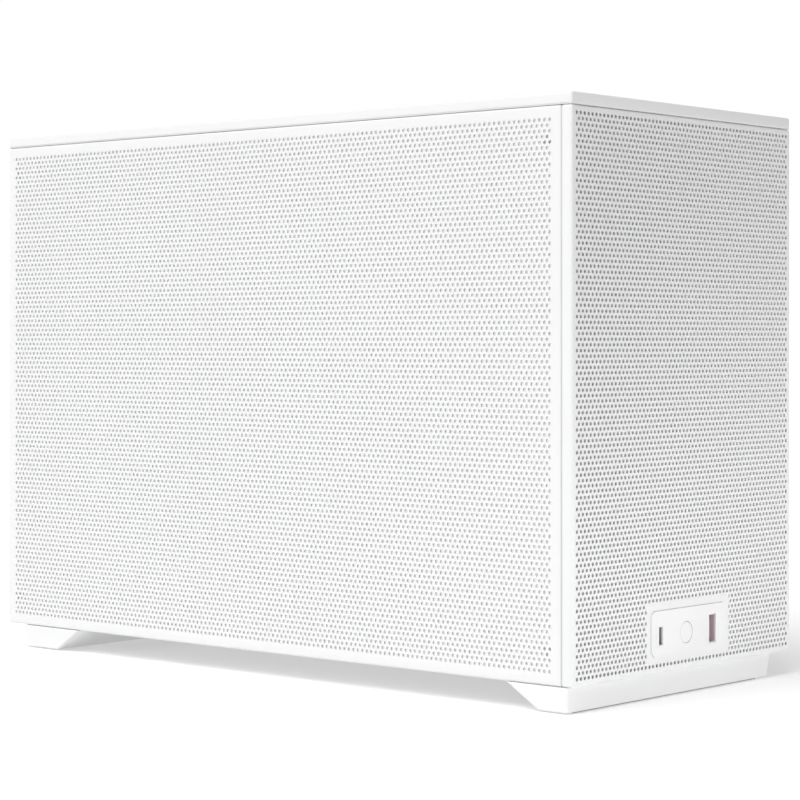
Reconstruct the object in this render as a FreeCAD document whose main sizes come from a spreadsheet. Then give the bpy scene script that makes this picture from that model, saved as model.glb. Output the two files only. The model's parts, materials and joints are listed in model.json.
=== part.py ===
"""Compact desktop computer tower: a white steel case with lift-off panels, and the computer inside it.

The origin is on the floor under the middle of the case. +Z is up, -Y is the front and -X is the left side.
"""

import FreeCAD
import Part
import Sketcher
import math
import os
import re

doc = FreeCAD.newDocument("desktop_tower")
V = FreeCAD.Vector

SIZES = {
    # outer case
    "case_width": 198,
    "case_depth": 426,
    "case_height": 306,
    "foot_height": 13.2,
    "sheet": 1,
    "fold": 6,
    "cover_rim": 5.5,
    "front_rim": 6,
    "seam": 0.6,
    "cover_seam": 0.9,
    "foot_gap": 0.2,
    "net_thick": 0.6,
    "net_inset": 4,
    # inner frame
    "frame_gap": 1.5,
    "frame_fold": 12.5,
    "base_level": 14.6,
    "roof_level": 296.5,
    "front_plane": -203.6,
    "rear_plane": 210.5,
    "tray_plane": 78,
    "tray_front": -60,
    "tray_window_front": 96,
    "tray_window_back": 174,
    "tray_window_low": 162,
    "tray_window_high": 238,
    "cable_slot_front": -56,
    "cable_slot_back": -42,
    "cable_slot_low": 60,
    "cable_slot_tall": 46,
    "cable_slot_pitch": 70,
    # vents
    "vent_slot": 6,
    "vent_pitch": 10,
    "vent_radius": 54,
    "front_vent_low": 112,
    "front_vent_high": 226,
    "base_slot_half": 70,
    "base_slot_pitch": 14,
    # press studs and their sockets
    "stud_radius": 2.5,
    "socket_radius": 4,
    "socket_bore": 2.65,
    "socket_length": 8,
    "stud_low": 30,
    "stud_high": 283,
    "side_stud_front": -197,
    "side_stud_rear": 204,
    "face_stud_side": 82,
    "face_stud_low": 34,
    "face_stud_high": 285,
    "roof_stud_side": 86,
    "roof_stud_front": -190,
    "roof_stud_rear": 195,
    # feet
    "foot_lift": 0.8,
    "foot_right": 84,
    "foot_slant": 4,
    "foot_plinth_inset": 9,
    "front_foot_front": -210,
    "front_foot_flat": -192,
    "front_foot_back": -171.7,
    "rear_foot_front": 150.2,
    "rear_foot_flat": 168.9,
    "rear_foot_back": 198,
    "pad_depth": 1.2,
    "pad_width": 14,
    "pad_inset": 8,
    # bottom dust filter
    "filter_half": 84,
    "filter_front": -160,
    "filter_back": 140,
    "filter_low": 10.8,
    "filter_high": 13,
    "filter_border": 9,
    "filter_net": 0.5,
    "rail_half": 80,
    "rail_low": 10,
    "rail_wall": 2,
    "rail_lip": 4,
    # front input and output plate
    "io_centre": 1,
    "io_width": 67.5,
    "io_low": 21.9,
    "io_high": 45.3,
    "io_proud": 0.8,
    "io_plate_back": -211,
    "io_corner": 3.5,
    "io_clearance": 0.4,
    "io_stem_inset": 3,
    "io_level": 32.4,
    "io_window_inset": 5,
    "io_board_front": -198,
    "io_board_back": -196.4,
    "power_x": -2,
    "power_radius": 5.5,
    "power_clearance": 0.2,
    "power_recess": 0.1,
    "power_depth": 5,
    "plunger_radius": 2.5,
    "plunger_back": -200,
    "usb_c_x": -24.7,
    "usb_c_wide": 3.4,
    "usb_c_tall": 9.6,
    "usb_c_wall": 0.35,
    "usb_c_tongue": 0.7,
    "usb_c_tongue_share": 0.45,
    "usb_a_x": 22,
    "usb_a_wide": 6.4,
    "usb_a_tall": 15.2,
    "usb_a_wall": 0.5,
    "usb_a_tongue": 1.8,
    "usb_a_tongue_share": 0.3,
    "usb_recess": 0.5,
    "usb_depth": 12,
    # mother board
    "board_face": 70.08,
    "board_thick": 1.57,
    "board_size": 244,
    "board_back": 206,
    "board_low": 30,
    "board_hole": 1.6,
    "standoff_radius": 3,
    "screw_head": 3.25,
    "screw_head_high": 1.5,
    "screw_reach": 5,
    "socket_y": 135,
    "socket_z": 200,
    "socket_half": 22,
    "socket_high": 3.6,
    "chip_half": 19,
    "chip_high": 2,
    # rear port block
    "ports_left": 27,
    "ports_front": 178,
    "ports_low": 117.5,
    "ports_high": 273,
    "ports_side_gap": 1,
    "ports_board_gap": 0.37,
    "ports_foot_gap": 1.5,
    "ports_head_gap": 1.75,
    "mouth_floor": 200,
    "jack_floor": 198,
    "jack_x": 60,
    "jack_bore": 2.5,
    # processor cooler
    "cooler_base_top": 55,
    "cooler_base_half": 18,
    "pipe_radius": 3,
    "pipe_pitch": 9,
    "pipe_level": 60,
    "pipe_reach": -86,
    "pipe_gauge": 13.5,
    "pipe_bend": 8,
    "fin_first": -82,
    "fin_pitch": 4.6,
    "fin_thick": 0.8,
    "fin_front": 112,
    "fin_back": 157,
    "fin_half": 60,
    # fans
    "fan_size": 120,
    "fan_depth": 25,
    "fan_bore": 58,
    "fan_corner": 52.5,
    "fan_screw": 2.1,
    "fan_screw_reach": 7,
    "fan_hub": 20,
    "fan_strut": 3,
    "fan_tip": 55,
    "fan_axle": 1.5,
    "axle_clearance": 0.2,
    "rotor_hub": 19,
    "rotor_low": 2,
    "rotor_high": 21,
    "blade_thick": 1.6,
    "blade_chord": 25,
    "blade_tilt": 38,
    "rear_fan_x": -34,
    "rear_fan_z": 200,
    "roof_fan_front": -9,
    "roof_fan_rear": 112,
    "cooler_fan_x": -21,
    "cooler_fan_front": 87,
    # memory
    "memory_y": 57,
    "memory_pitch": 10,
    "memory_low": 133.5,
    "memory_long": 133,
    "memory_top": 31,
    "memory_foot": 62,
    "memory_half": 3.4,
    "memory_slot_half": 3.5,
    "memory_slot_extra": 4.5,
    # expansion slots and the graphics card
    "slot_pitch": 20.32,
    "slot_top": 101,
    "slot_half": 9.2,
    "slot_open_half": 6.5,
    "slot_open_left": -42,
    "slot_open_right": 48,
    "bracket_left": -54,
    "bracket_right": 62,
    "bracket_thick": 1,
    "bracket_screw_x": -50,
    "rear_screw": 1.5,
    "rear_screw_head": 4,
    "card_left": -56,
    "card_foot": 59,
    "card_front": -80,
    "card_thick": 1.6,
    "shroud_left": -59,
    "shroud_right": 50,
    "shroud_front": -84,
    "shroud_low": 62,
    "shroud_wall": 2,
    "card_sink_low": 80,
    "card_sink_fin": 1.2,
    "card_sink_pitch": 6,
    "card_fan_well": 46,
    "card_fan_tip": 42,
    "card_fan_hub": 15,
    "card_fan_x": -4,
    "card_fan_front": -16,
    "card_fan_rear": 106,
    "card_fan_low": 64,
    "card_fan_high": 76,
    "card_blade_chord": 15,
    "card_sink_inset": 8,
    "card_sink_back": 180,
    "card_sink_plate": 6,
    "card_port_left": 2,
    "card_port_wide": 18,
    "card_port_pitch": 22,
    "card_port_half": 3,
    # power supply
    "supply_left": -90,
    "supply_right": -4,
    "supply_front": -185,
    "supply_back": -35,
    "supply_low": 145,
    "supply_high": 270,
    "supply_wall": 1.2,
    "supply_fan_well": 62,
    "supply_fan_tip": 56,
    "supply_fan_low": -87,
    "supply_fan_high": -70,
    "supply_blade_chord": 20,
    "guard_wire": 0.9,
    "guard_step": 15,
    "plate_thick": 1.2,
    "bracket_fold": 20,
    "bracket_tab_back": -174,
    "plug_x": -66,
    "plug_y": -90,
    "plug_half_x": 14,
    "plug_half_y": 9,
    "plug_low": 122,
    "plug_high": 148,
    "rocker_x": -66,
    "rocker_y": -150,
    "rocker_long": 18,
    "rocker_wide": 12,
    "rocker_thick": 5,
    "rocker_tilt": 7,
    "rocker_gap": 1.2,
    # mains inlet
    "inlet_x": -73,
    "inlet_z": 40,
    "inlet_half_x": 13.4,
    "inlet_half_z": 10.4,
    "inlet_flange": 2,
    "inlet_wall": 1.6,
    "inlet_depth": 20,
    "inlet_pin_rise": 4.5,
    "inlet_pin_half": 1.2,
}

sheet = doc.addObject("Spreadsheet::Sheet", "dims")
for row, (alias, number) in enumerate(SIZES.items(), start=1):
    sheet.set(f"A{row}", alias)
    sheet.set(f"B{row}", str(number))
    sheet.setAlias(f"B{row}", alias)
doc.recompute()

nodes = []


def in_sheet(text):
    """The expression with each cell's name pointed at the sheet; a word before a bracket is a function."""
    return re.sub(r"\b[a-z][a-z_]*\b(?!\()", lambda word: "dims." + word.group(), str(text))


def cell(name):
    return float(sheet.get(name))


def node(solid, name):
    solid.Label = name
    nodes.append(solid)
    return solid


def place(solid, at, turn=None):
    """Moves a solid so that its own origin is at three expressions, turned by a rotation."""
    solid.Placement = FreeCAD.Placement(V(0, 0, 0), turn or FreeCAD.Rotation())
    for side, text in zip("xyz", at):
        solid.setExpression(f".Placement.Base.{side}", in_sheet(text))
    return solid


def block(across, along, up):
    """A box between a low and a high limit on X, Y and Z."""
    solid = doc.addObject("Part::Box", "block")
    limits = (across, along, up)
    for size, (low, high) in zip(("Length", "Width", "Height"), limits):
        solid.setExpression(size, in_sheet(f"({high}) - ({low})"))
    return place(solid, [low for low, high in limits])


def around(middle, half):
    return (f"({middle}) - ({half})", f"({middle}) + ({half})")


TURNS = {
    "x": FreeCAD.Rotation(V(0, 1, 0), 90),
    "y": FreeCAD.Rotation(V(1, 0, 0), -90),
    "z": FreeCAD.Rotation(),
    "-x": FreeCAD.Rotation(V(0, 1, 0), -90),
    "-z": FreeCAD.Rotation(V(1, 0, 0), 180),
}


def rod(axis, start, length, radius):
    """A round bar that starts at a point and runs along an axis."""
    solid = doc.addObject("Part::Cylinder", "rod")
    solid.setExpression("Radius", in_sheet(radius))
    solid.setExpression("Height", in_sheet(length))
    return place(solid, start, TURNS[axis])


def fuse(solids):
    whole = doc.addObject("Part::MultiFuse", "fuse")
    whole.Shapes = solids
    return whole


def group(solids):
    whole = doc.addObject("Part::Compound", "group")
    whole.Links = solids
    return whole


def cut(base, tools):
    whole = doc.addObject("Part::Cut", "cut")
    whole.Base = base
    whole.Tool = tools[0] if len(tools) == 1 else fuse(tools)
    return whole


def round_edges(base, radius, chosen):
    """Rounds the edges of a solid that a test picks."""
    doc.recompute()
    whole = doc.addObject("Part::Fillet", "rounded")
    whole.Base = base
    edges = enumerate(base.Shape.Edges, start=1)
    whole.Edges = [(number, cell(radius), cell(radius)) for number, edge in edges if chosen(edge)]
    return whole


def along_axis(edge, axis):
    direction = edge.tangentAt(edge.FirstParameter)
    return abs(direction.dot(axis)) > 0.999


# ---- shared outlines of the case

side_face = "case_width / 2"
frame_half = "case_width / 2 - sheet - frame_gap"
front_face = "-case_depth / 2"
rear_face = "case_depth / 2"
panel_low = "foot_height + foot_gap"
panel_high = "case_height - cover_rim - cover_seam"
panel_front = "-case_depth / 2 + front_rim + seam"
front_sheet = ("front_plane - sheet", "front_plane")
rear_sheet = ("rear_plane", "rear_plane + sheet")
roof_sheet = ("roof_level", "roof_level + sheet")
wall_height = ("base_level + sheet", "roof_level")


def slots_in_circle(axis, middle, across, level):
    """Long slots that fill a circle. The axis is the sheet's normal, and level is the sheet's span on it."""
    slots = []
    count = int(cell("vent_radius") / cell("vent_pitch"))
    for step in range(-count, count + 1):
        offset = f"{step} * vent_pitch"
        reach = f"sqrt(vent_radius ^ 2 - ({offset}) ^ 2)"
        lane = around(f"({middle}) + {offset}", "vent_slot / 2")
        run = around(across, reach)
        if axis == "y":
            slots.append(block(lane, level, run))
        else:
            slots.append(block(lane, run, level))
    return slots


# ---- chassis sheets



def pairs(first, second):
    return [(one, other) for one in first for other in second]


SIDE_STUDS = pairs(("side_stud_front", "side_stud_rear"), ("stud_low", "stud_high"))
FACE_STUDS = pairs(("-face_stud_side", "face_stud_side"), ("face_stud_low", "face_stud_high"))
ROOF_STUDS = pairs(("-roof_stud_side", "roof_stud_side"), ("roof_stud_front", "roof_stud_rear"))
SLOTS = [f"slot_top - {number} * slot_pitch" for number in range(4)]
BASE_SLOTS_EACH_WAY = 9


def side_holes(y):
    """Holes for the side panels' sockets through both folds of an upright sheet."""
    long_enough = f"2 * ({frame_half}) + 2"
    start = f"-({frame_half}) - 1"
    return [rod("x", (start, y, z), long_enough, "socket_radius") for z in ("stud_low", "stud_high")]


def fan_corners(middle_x, middle_z):
    for across in (-1, 1):
        for up in (-1, 1):
            yield f"({middle_x}) + {across} * fan_corner", f"({middle_z}) + {up} * fan_corner"


def base_tray():
    """Floor of the case with slots that the fans draw through, and the rails of the dust filter below it."""
    width = (f"-({frame_half})", frame_half)
    length = ("front_plane - sheet", "rear_plane + sheet")
    plate = block(width, length, ("base_level", "base_level + sheet"))
    slots = []
    for step in range(-BASE_SLOTS_EACH_WAY, BASE_SLOTS_EACH_WAY + 1):
        middle = f"(filter_front + filter_back) / 2 + {step} * base_slot_pitch"
        run = ("-base_slot_half", "base_slot_half")
        through = ("base_level - 1", "base_level + sheet + 1")
        slots.append(block(run, around(middle, "vent_slot / 2"), through))
    rails = []
    for edge, out in (("filter_front", -1), ("filter_back", 1)):
        wall = around(f"{edge} + {out} * (0.3 + rail_wall / 2)", "rail_wall / 2")
        rails.append(block(("-rail_half", "rail_half"), wall, ("rail_low", "base_level")))
        lip = around(f"{edge} - {out} * (rail_lip / 2 - 0.3)", "rail_lip / 2")
        rails.append(block(("-rail_half", "rail_half"), lip, ("rail_low", "filter_low - 0.1")))
    node(fuse([cut(plate, slots)] + rails), "base_tray")


def rear_wall():
    """Back sheet with the board's port window, four card slots, a fan vent and the mains inlet's hole."""
    width = (f"-({frame_half})", frame_half)
    plate = block(width, rear_sheet, wall_height)
    folds = []
    for side in (-1, 1):
        wall = around(f"{side} * ({frame_half} - sheet / 2)", "sheet / 2")
        folds.append(block(wall, ("rear_plane - frame_fold", "rear_plane"), wall_height))
    through = ("rear_plane - 1", "rear_plane + sheet + 1")
    across = ("ports_left - ports_side_gap", "board_face + ports_board_gap")
    openings = [block(across, through, ("ports_low - ports_foot_gap", "ports_high + ports_head_gap"))]
    for middle in SLOTS:
        span = ("slot_open_left", "slot_open_right")
        openings.append(block(span, through, around(middle, "slot_open_half")))
        openings.append(rod("y", ("bracket_screw_x", "rear_plane - 1", middle), "sheet + 2", "rear_screw"))
    openings += slots_in_circle("y", "rear_fan_x", "rear_fan_z", through)
    for x, z in fan_corners("rear_fan_x", "rear_fan_z"):
        openings.append(rod("y", (x, "rear_plane - 1", z), "sheet + 2", "fan_screw"))
    openings.append(block(around("inlet_x", "inlet_half_x"), through, around("inlet_z", "inlet_half_z")))
    node(cut(fuse([plate] + folds), openings + side_holes("side_stud_rear")), "rear_wall")


def front_frame():
    """Front sheet behind the mesh, with air slots and a window for the input and output board."""
    width = (f"-({frame_half})", frame_half)
    plate = block(width, front_sheet, wall_height)
    folds = []
    for side in (-1, 1):
        wall = around(f"{side} * ({frame_half} - sheet / 2)", "sheet / 2")
        folds.append(block(wall, ("front_plane", "front_plane + frame_fold"), wall_height))
    through = ("front_plane - sheet - 1", "front_plane + 1")
    window = ("io_low + io_window_inset / 2", "io_high - io_window_inset / 2")
    openings = [block(around("io_centre", "io_width / 2 - io_window_inset"), through, window)]
    for middle in ("front_vent_low", "front_vent_high"):
        openings += slots_in_circle("y", "0", middle, through)
    for x, z in FACE_STUDS:
        openings.append(rod("y", (x, "front_plane - sheet - 1", z), "sheet + 2", "socket_radius"))
    node(cut(fuse([plate] + folds), openings + side_holes("side_stud_front")), "front_frame")


def top_frame():
    """Roof sheet that carries the two exhaust fans and the cover's sockets."""
    width = (f"-({frame_half})", frame_half)
    plate = block(width, ("front_plane - sheet", "rear_plane + sheet"), roof_sheet)
    through = ("roof_level - 1", "roof_level + sheet + 1")
    openings = []
    for middle in ("roof_fan_front", "roof_fan_rear"):
        openings += slots_in_circle("z", "0", middle, through)
    for x, y in ROOF_STUDS:
        openings.append(rod("z", (x, y, "roof_level - 1"), "sheet + 2", "socket_radius"))
    node(cut(plate, openings), "top_frame")


def motherboard_tray():
    """Upright sheet that the mother board stands off from, with a window behind the processor."""
    plate = block(("tray_plane", "tray_plane + sheet"), ("tray_front", "rear_plane"), wall_height)
    through = ("tray_plane - 1", "tray_plane + sheet + 1")
    window = ("tray_window_low", "tray_window_high")
    openings = [block(through, ("tray_window_front", "tray_window_back"), window)]
    for number in range(3):
        low = f"cable_slot_low + {number} * cable_slot_pitch"
        up = (low, f"{low} + cable_slot_tall")
        openings.append(block(through, ("cable_slot_front", "cable_slot_back"), up))
    node(cut(plate, openings), "motherboard_tray")


def panel_sockets():
    """Plastic rings that grip the panels' studs."""
    rings = []
    for y, z in SIDE_STUDS:
        for start in (f"-({frame_half})", f"{frame_half} - socket_length"):
            rings.append(("x", (start, y, z)))
    for x, z in FACE_STUDS:
        rings.append(("y", (x, "front_plane - sheet", z)))
    for x, y in ROOF_STUDS:
        rings.append(("z", (x, y, "roof_level + sheet - socket_length")))
    solids = []
    for axis, start in rings:
        outside = rod(axis, start, "socket_length", "socket_radius")
        solids.append(cut(outside, [rod(axis, start, "socket_length", "socket_bore")]))
    node(group(solids), "panel_sockets")


# ---- feet


def outline(body, role, name, corners):
    """A closed sketch with straight sides on one of the body's own planes, each corner bound to the sheet."""
    sketch = body.newObject("Sketcher::SketchObject", name)
    plane = [feature for feature in body.Origin.OriginFeatures if feature.Role == role][0]
    sketch.AttachmentSupport = (plane, "")
    sketch.MapMode = "FlatFace"
    count = len(corners)
    ring = [V(math.cos(6.28 * i / count), math.sin(6.28 * i / count), 0) for i in range(count + 1)]
    for i in range(count):
        sketch.addGeometry(Part.LineSegment(ring[i], ring[i + 1]), False)
    for i in range(count):
        sketch.addConstraint(Sketcher.Constraint("Coincident", i, 2, (i + 1) % count, 1))
    for i, pair in enumerate(corners):
        for kind, text in zip(("DistanceX", "DistanceY"), pair):
            number = sketch.addConstraint(Sketcher.Constraint(kind, i, 1, 1.0))
            sketch.renameConstraint(number, f"{kind}_{i}")
            sketch.setExpression(f".Constraints.{kind}_{i}", in_sheet(text))
    return sketch


def foot(name, front, back, flat):
    """A bar across the case with one sloping side and a slanted right end, and a plinth on top of it."""
    body = doc.addObject("PartDesign::Body", name)
    corners = [
        (flat[0], "foot_lift"),
        (flat[1], "foot_lift"),
        (back, "foot_height"),
        (f"{back} - foot_plinth_inset", "foot_height"),
        (f"{back} - foot_plinth_inset", "base_level"),
        (f"{front} + foot_plinth_inset", "base_level"),
        (f"{front} + foot_plinth_inset", "foot_height"),
        (front, "foot_height"),
    ]
    bar = body.newObject("PartDesign::Pad", "Bar")
    bar.Profile = outline(body, "YZ_Plane", "Side", corners)
    bar.Midplane = True
    bar.setExpression("Length", in_sheet("case_width"))
    doc.recompute()
    slant = [
        ("foot_right", "base_level + 1"),
        ("foot_right - foot_slant", "0"),
        ("case_width", "0"),
        ("case_width", "base_level + 1"),
    ]
    end = body.newObject("PartDesign::Pocket", "End")
    end.Profile = outline(body, "XZ_Plane", "Slant", slant)
    end.Midplane = True
    end.Type = "Length"
    end.setExpression("Length", in_sheet("2 * case_depth"))
    plinth = body.newObject("PartDesign::Pocket", "PlinthEnd")
    inset = [
        (f"-{side_face} - 1", "foot_height"),
        (f"-{side_face} + foot_plinth_inset", "foot_height"),
        (f"-{side_face} + foot_plinth_inset", "base_level + 1"),
        (f"-{side_face} - 1", "base_level + 1"),
    ]
    plinth.Profile = outline(body, "XZ_Plane", "Inset", inset)
    plinth.Midplane = True
    plinth.Type = "Length"
    plinth.setExpression("Length", in_sheet("2 * case_depth"))
    body.Tip = plinth
    doc.recompute()
    return body


def feet():
    """Two foot bars, each with a pocket along its underside for a rubber pad."""
    pads = []
    for name, flat in (
        ("front_foot", ("front_foot_front", "front_foot_flat")),
        ("rear_foot", ("rear_foot_flat", "rear_foot_back")),
    ):
        body = foot(f"{name}_bar", f"{name}_front", f"{name}_back", flat)
        middle = f"({flat[0]} + {flat[1]}) / 2"
        run = (f"-{side_face} + pad_inset", "foot_right - foot_slant - pad_inset")
        width = around(middle, "pad_width / 2")
        pads.append(block(run, width, ("0", "foot_lift + pad_depth")))
        pocket = block(run, width, ("-1", "foot_lift + pad_depth"))
        node(cut(body, [pocket]), name)
    node(group(pads), "foot_pads")


# ---- lift-off panels


def side_panel(name, side):
    """A folded tray that stands over one side, with four studs on its inner face."""
    length = (panel_front, rear_face)
    height = (panel_low, panel_high)
    outer = around(f"{side} * ({side_face} - fold / 2)", "fold / 2")
    inner = around(f"{side} * ({side_face} - sheet - fold / 2)", "fold / 2")
    room = (f"{panel_front} + sheet", f"{rear_face} - sheet")
    hollow = block(inner, room, (f"{panel_low} + sheet", f"{panel_high} - sheet"))
    studs = []
    reach = "frame_gap + socket_length"
    for y, z in SIDE_STUDS:
        start = f"{side} * ({side_face} - sheet) - ({1 if side > 0 else 0}) * ({reach})"
        studs.append(rod("x", (start, y, z), reach, "stud_radius"))
    tray = cut(block(outer, length, height), [hollow])
    node(fuse([tray] + studs), name)
    net_face = f"{side} * ({side_face} - sheet - net_thick / 2)"
    net = block(around(net_face, "net_thick / 2"),
                (f"{panel_front} + net_inset", f"{rear_face} - net_inset"),
                (f"{panel_low} + net_inset", f"{panel_high} - net_inset"))
    holes = [rod("x", (f"{net_face} - 2", y, z), "4", "stud_radius") for y, z in SIDE_STUDS]
    node(cut(net, holes), name.replace("panel", "dust_net"))


def front_panel():
    """The front tray, with a cut-out that passes over the input and output plate."""
    width = (f"-{side_face}", side_face)
    tray = block(width, (front_face, f"{front_face} + front_rim"), (panel_low, panel_high))
    room = (f"-{side_face} + sheet", f"{side_face} - sheet")
    hollow = block(room, (f"{front_face} + sheet", f"{front_face} + front_rim + 1"),
                   (f"{panel_low} + sheet", f"{panel_high} - sheet"))
    plate_room = block(around("io_centre", "io_width / 2 + io_clearance"),
                       (f"{front_face} - 1", f"{front_face} + front_rim"),
                       ("io_low - io_clearance", "io_high + io_clearance"))
    studs = []
    for x, z in FACE_STUDS:
        start = (x, f"{front_face} + sheet", z)
        reach = f"front_plane - sheet + socket_length - ({front_face} + sheet)"
        studs.append(rod("y", start, reach, "stud_radius"))
    node(fuse([cut(tray, [hollow, plate_room])] + studs), "front_panel")
    net = block((f"-{side_face} + net_inset", f"{side_face} - net_inset"),
                (f"{front_face} + sheet", f"{front_face} + sheet + net_thick"),
                (f"{panel_low} + net_inset", f"{panel_high} - net_inset"))
    holes = [rod("y", (x, front_face, z), "4", "stud_radius") for x, z in FACE_STUDS]
    plate_gap = block(around("io_centre", "io_width / 2 + net_inset / 2"),
                      (front_face, f"{front_face} + fold"),
                      ("io_low - net_inset / 2", "io_high + net_inset / 2"))
    node(cut(net, holes + [plate_gap]), "front_dust_net")


def top_cover():
    """The roof tray with a low rim all round."""
    outside = block((f"-{side_face}", side_face), (front_face, rear_face),
                    ("case_height - cover_rim", "case_height"))
    hollow = block((f"-{side_face} + sheet", f"{side_face} - sheet"),
                   (f"{front_face} + sheet", f"{rear_face} - sheet"),
                   ("case_height - cover_rim - 1", "case_height - sheet"))
    reach = "case_height - sheet - (roof_level + sheet) + socket_length"
    foot_level = "roof_level + sheet - socket_length"
    studs = [rod("z", (x, y, foot_level), reach, "stud_radius") for x, y in ROOF_STUDS]
    node(fuse([cut(outside, [hollow])] + studs), "top_cover")
    net = block((f"-{side_face} + net_inset", f"{side_face} - net_inset"),
                (f"{front_face} + net_inset", f"{rear_face} - net_inset"),
                ("case_height - sheet - net_thick", "case_height - sheet"))
    holes = [rod("z", (x, y, "case_height - 4"), "4", "stud_radius") for x, y in ROOF_STUDS]
    node(cut(net, holes), "top_dust_net")


def bottom_filter():
    """A framed net that slides out to the left between the feet."""
    frame = block(("-filter_half", "filter_half"), ("filter_front", "filter_back"),
                  ("filter_low", "filter_high"))
    windows = []
    for side in (-1, 1):
        middle = f"{side} * (filter_half - filter_border / 2) / 2"
        span = around(middle, "(filter_half - 1.5 * filter_border) / 2")
        length = ("filter_front + filter_border", "filter_back - filter_border")
        windows.append(block(span, length, ("filter_low + filter_net", "filter_high + 1")))
    node(cut(frame, windows), "bottom_filter")


# ---- front input and output


def io_module():
    """The port plate with its stem, the power button, the two ports and the board they stand on."""
    front = f"{front_face} - io_proud"
    plate = block(around("io_centre", "io_width / 2"), (front, "io_plate_back"), ("io_low", "io_high"))
    plate = round_edges(plate, "io_corner", lambda edge: along_axis(edge, V(0, 1, 0)))
    stem = block(around("io_centre", "io_width / 2 - io_stem_inset"),
                 ("io_plate_back", "front_plane - sheet"),
                 ("io_low + io_stem_inset", "io_high - io_stem_inset"))
    through = (f"{front} - 1", "front_plane")
    holes = [
        block(around("usb_c_x", "usb_c_wide / 2"), through, around("io_level", "usb_c_tall / 2")),
        block(around("usb_a_x", "usb_a_wide / 2"), through, around("io_level", "usb_a_tall / 2")),
        rod("y", ("power_x", f"{front} - 1", "io_level"), "20", "power_radius + power_clearance"),
    ]
    node(cut(fuse([plate, stem]), holes), "io_plate")
    cap = rod("y", ("power_x", f"{front} + power_recess", "io_level"), "power_depth", "power_radius")
    stalk_start = f"{front} + power_recess + power_depth"
    stalk_length = f"plunger_back - ({stalk_start})"
    stalk = rod("y", ("power_x", stalk_start, "io_level"), stalk_length, "plunger_radius")
    node(fuse([cap, stalk]), "power_button")
    for name in ("usb_c", "usb_a"):
        shell = block(around(f"{name}_x", f"{name}_wide / 2"), (f"{front} + usb_recess", "io_board_front"),
                      around("io_level", f"{name}_tall / 2"))
        mouth = block(around(f"{name}_x", f"{name}_wide / 2 - {name}_wall"),
                      (front, f"{front} + usb_recess + usb_depth"),
                      around("io_level", f"{name}_tall / 2 - {name}_wall"))
        tongue_x = f"{name}_x" if name == "usb_c" else f"{name}_x - {name}_wide / 2 + {name}_wall + 0.9"
        tongue = block(around(tongue_x, f"{name}_tongue / 2 - 0.001"),
                       (f"{front} + usb_recess + 1", f"{front} + usb_recess + usb_depth + 0.5"),
                       around("io_level", f"{name}_tall * {name}_tongue_share + 0.5 - {name}_wall"))
        node(fuse([cut(shell, [mouth]), tongue]), f"{name}_port")
    board = block(around("io_centre", "io_width / 2 - io_stem_inset"), ("io_board_front", "io_board_back"),
                  ("io_low", "io_high"))
    node(board, "io_board")


# ---- mother board and what stands on it

board_high = "board_low + board_size"
# Distances from the board's rear and upper edges. The port block covers the corner between them.
BOARD_HOLES = pairs(("10.2", "165.1", "237.5"), ("6.4", "163.8", "237.5"))[1:]

# Each box on the board: its height, its span along Y and its span on Z.
CONNECTORS = {
    "graphics slot": ("11", ("70", "160"), around("slot_top", "3.7")),
    "short slot": ("11", ("121", "160"), around("slot_top - 3 * slot_pitch", "3.7")),
    "board power": ("14", ("-37", "-27"), ("165", "217")),
    "processor power": ("14", ("148", "166"), ("258", "269")),
    "front header": ("8", ("-20", "4"), ("31", "36")),
}
HEAT_SINKS = {
    "rear regulator": ("22", ("158", "176"), ("178", "256")),
    "upper regulator": ("22", ("72", "142"), ("246", "262")),
    "chip set": ("7", ("-25", "35"), ("44", "92")),
}
# Each rectangular mouth of the port block: its span along X and its span on Z.
PORT_MOUTHS = {
    "usb 1": (("32", "63"), ("124", "130")),
    "usb 2": (("32", "63"), ("140", "146")),
    "usb 3": (("32", "63"), ("156", "162")),
    "usb 4": (("32", "63"), ("172", "178")),
    "network": (("34", "50"), ("190", "203")),
    "second screen": (("55", "68"), ("190", "206")),
    "screen": (("46", "66"), ("214", "220")),
}
JACK_LEVELS = ("232", "246", "260")


def on_board(height, along, up):
    """A box that stands on the board's face."""
    return block((f"board_face - ({height})", "board_face"), along, up)


def motherboard():
    plate = block(("board_face", "board_face + board_thick"), ("board_back - board_size", "board_back"),
                  ("board_low", board_high))
    holes = []
    standoffs = []
    screws = []
    for back, down in BOARD_HOLES:
        at = (f"board_back - {back}", f"{board_high} - {down}")
        holes.append(rod("x", ("board_face - 1", *at), "board_thick + 2", "board_hole"))
        pillar = ("board_face + board_thick", *at)
        post = rod("x", pillar, "tray_plane - board_face - board_thick", "standoff_radius")
        standoffs.append(cut(post, [rod("x", pillar, "screw_reach", "board_hole")]))
        head = rod("x", ("board_face - screw_head_high", *at), "screw_head_high", "screw_head")
        shank = rod("x", ("board_face", *at), "board_thick + screw_reach", "board_hole")
        screws.append(fuse([head, shank]))
    node(cut(plate, holes), "motherboard")
    node(group(standoffs), "standoffs")
    node(group(screws), "board_screws")


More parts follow.
